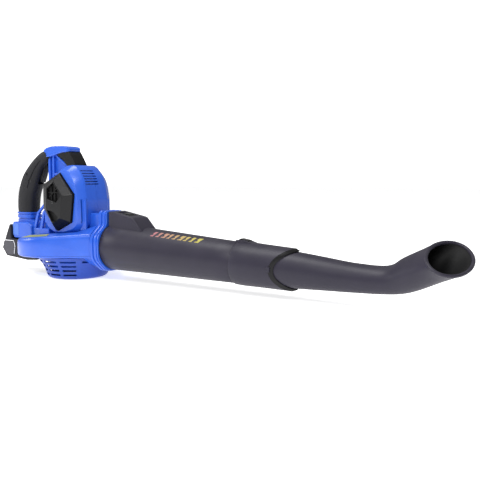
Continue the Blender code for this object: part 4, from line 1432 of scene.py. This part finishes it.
@dataclass
class BatteryPack:
    """Slide-on battery: two case halves, pale side panels with silver trim, and a release button."""

    outline: Sequence[Point2] = (
        (-82, 30), (-82, 70), (-160.6, 70), (-160.6, 100), (-164, 102.5), (-177, 78), (-191, 50),
        (-177, 33.5), (-111, 28),
    )
    slope: tuple[Point2, Point2] = ((-164, 102.5), (-177, 78))
    half: float = 38.0
    split: float = 52.2

    def build(self) -> None:
        """Make the case, its panels, trim and button."""
        case = slab("pack", self.outline, self.half - 0.2, 4.0, 4)
        cut(case, slab("pack_room", grown(self.outline, -2.2), self.half - 2.2))
        lower, upper = parted(case, ("pack_lower", "pack_upper"), (0, 0, self.split), (0, 0, 1))
        cut(upper, slab("latch_well", self.sloped(8.4, -12, 12), 11.4))
        mount(finished(lower, 40), Body.BATTERY, "charcoal_tube", PACK, "battery_case_lower")
        mount(finished(upper, 40), Body.BATTERY, "charcoal_tube", PACK, "battery_case_upper")
        button = slab("pack_release", self.sloped(8, -4, 1.5), 11, 1.0, 3)
        mount(button, Body.BATTERY_LATCH, "black_plastic", BLACK, "battery_latch_button")
        self.panels()

    def sloped(self, half: float, deep: float, proud: float) -> list[Point2]:
        """Rectangle on the sloping rear face, from a depth under it to a height over it."""
        high, low = (Vector(point) for point in self.slope)
        middle, along = (high + low) / 2, (low - high).normalized()
        out = Vector((along.y, -along.x))
        corners = ((-half, deep), (half, deep), (half, proud), (-half, proud))
        return [tuple(middle + along * a + out * b) for a, b in corners]

    def panels(self) -> None:
        """Pale panel low on each side at the rear, edged in silver."""
        corners = [(-184, 65.2), (-153.4, 65.0), (-150.4, 56), (-154, 36.5), (-174, 36.5), (-187.5, 50)]
        panel = rounded(corners, 2.5, 3)
        edge = [(-184.8, 66.6), (-152.4, 66.2), (-148.8, 56.5), (-152.3, 38.5)]
        band = edge + [(x + dx, z + dz) for (x, z), (dx, dz) in
                       zip(reversed(edge), ((1.1, 0.2), (1.3, 0.1), (0.7, 1.2), (0.5, 1.5)))]
        y = self.half - 0.4
        plate = soften(prism("pack_panel_right", panel, -y, -(y + 0.5)), 0.3, 2)
        trim = soften(prism("pack_trim_right", band, -y, -(y + 0.7)), 0.25, 2)
        mount_pair(plate, "pack_panel_left", Body.BATTERY, "charcoal_tube", PACK_PALE)
        mount_pair(trim, "pack_trim_left", Body.BATTERY, "charcoal_tube", SILVER)


# ---------------------------------------------------------------- inside pieces and studio


def dress_inside(frame: dict) -> None:
    """Give the frame's own inner pieces their finishes.
    """
    finishes = {
        "impeller": BLACK, "impeller_nut": STEEL, "rotor": STEEL, "motor_can": STEEL, "motor_plate": STEEL,
        "stator": COPPER, "bearing_lower": STEEL, "bearing_upper": STEEL, "circuit_board": BOARD,
        "battery_board": BOARD, "battery_contacts": BRASS, "terminal_block": BLACK, "switch_body": BLACK,
        "power_lead_red": RED_WIRE, "power_lead_black": BLACK_WIRE, "trigger_pin": STEEL,
        "trigger_spring": STEEL, "speed_spring": STEEL, "tube_latch_spring": STEEL,
    }
    finishes |= {f"grip_screw_{i}": DARK_STEEL for i in (1, 2, 3)}
    finishes |= {f"cell_{i}": CELL for i in range(1, 9)}
    for name, finish in finishes.items():
        node = frame["nodes"][name]
        node.data.materials.clear()
        node.data.materials.append(finish.material())


@dataclass
class Studio:
    """Pale floor, soft lights and the camera."""

    eye: Point3 = (0.9312, -0.8611, 0.1952)
    swing: float = 58.0
    drop: float = 5.7
    lens: float = 45.0

    def camera(self) -> None:
        """Put the camera in front of the nozzle side."""
        a, e = math.radians(self.swing), math.radians(self.drop)
        look = Vector((-math.cos(a) * math.cos(e), math.sin(a) * math.cos(e), -math.sin(e)))
        bpy.ops.object.camera_add(location=self.eye, rotation=look.to_track_quat("-Z", "Y").to_euler())
        camera = bpy.context.active_object
        camera.data.lens = self.lens
        camera.data.sensor_width = 36.0
        camera.data.clip_start = 0.01
        bpy.context.scene.camera = camera

    def light(self, name: str, place: Point3, aim: Point3, size: float, power: float) -> None:
        """One soft square light."""
        turn = (Vector(aim) - Vector(place)).to_track_quat("-Z", "Y").to_euler()
        bpy.ops.object.light_add(type="AREA", location=place, rotation=turn)
        lamp = bpy.context.active_object
        lamp.name = name
        lamp.data.size = size
        lamp.data.energy = power

    def floor(self) -> None:
        """Wide pale floor just under the tool."""
        bpy.ops.mesh.primitive_plane_add(size=30, location=(0, 0, -0.0006))
        plane = bpy.context.active_object
        plane.name = "studio_floor"
        made = bpy.data.materials.new("studio_white")
        made.use_nodes = True
        Weave(made.node_tree).feed(made.node_tree.nodes["Principled BSDF"], {
            "Base Color": (0.93, 0.93, 0.935),
            "Roughness": 0.9,
            "Emission Color": (1, 1, 1),
            "Emission Strength": 0.64,
        })
        plane.data.materials.append(made)

    def build(self) -> None:
        """Set the scene."""
        self.camera()
        self.light("key", (1.0, -2.1, 1.9), (0.2, 0, 0.1), 1.0, 48)
        self.light("top", (-0.3, -0.3, 2.3), (0.15, 0, 0.1), 1.2, 40)
        self.light("left", (-1.8, -0.9, 1.0), (0.0, 0, 0.12), 0.7, 12)
        world = bpy.data.worlds.new("studio_air")
        world.use_nodes = True
        weave = Weave(world.node_tree)
        air = weave.feed(world.node_tree.nodes["Background"], {"Color": (1, 1, 1), "Strength": 0.38})
        backdrop = weave.node("ShaderNodeBackground", {"Strength": 2.0})
        seen = weave.node("ShaderNodeLightPath").outputs["Is Camera Ray"]
        mix = weave.node("ShaderNodeMixShader", {0: seen, 1: air.outputs[0], 2: backdrop.outputs[0]})
        weave.feed(world.node_tree.nodes["World Output"], {0: mix.outputs[0]})
        bpy.context.scene.world = world
        bpy.context.scene.view_settings.view_transform = "Standard"
        self.floor()


def main() -> None:
    """Build the tool round its frame and set it in the studio."""
    logging.basicConfig(level=logging.INFO, format="%(name)s %(message)s")
    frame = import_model()
    for part in (IntakeBowl(), FanScroll(), OutletCollar(), MotorHousing(), SideCover(), Handle(), MainTube(),
                 CurvedNozzle(), BatteryPack()):
        LOG.info("building %s", type(part).__name__)
        part.build()
    dress_inside(frame)
    rest()
    Studio().build()


if __name__ == "__main__":
    main()
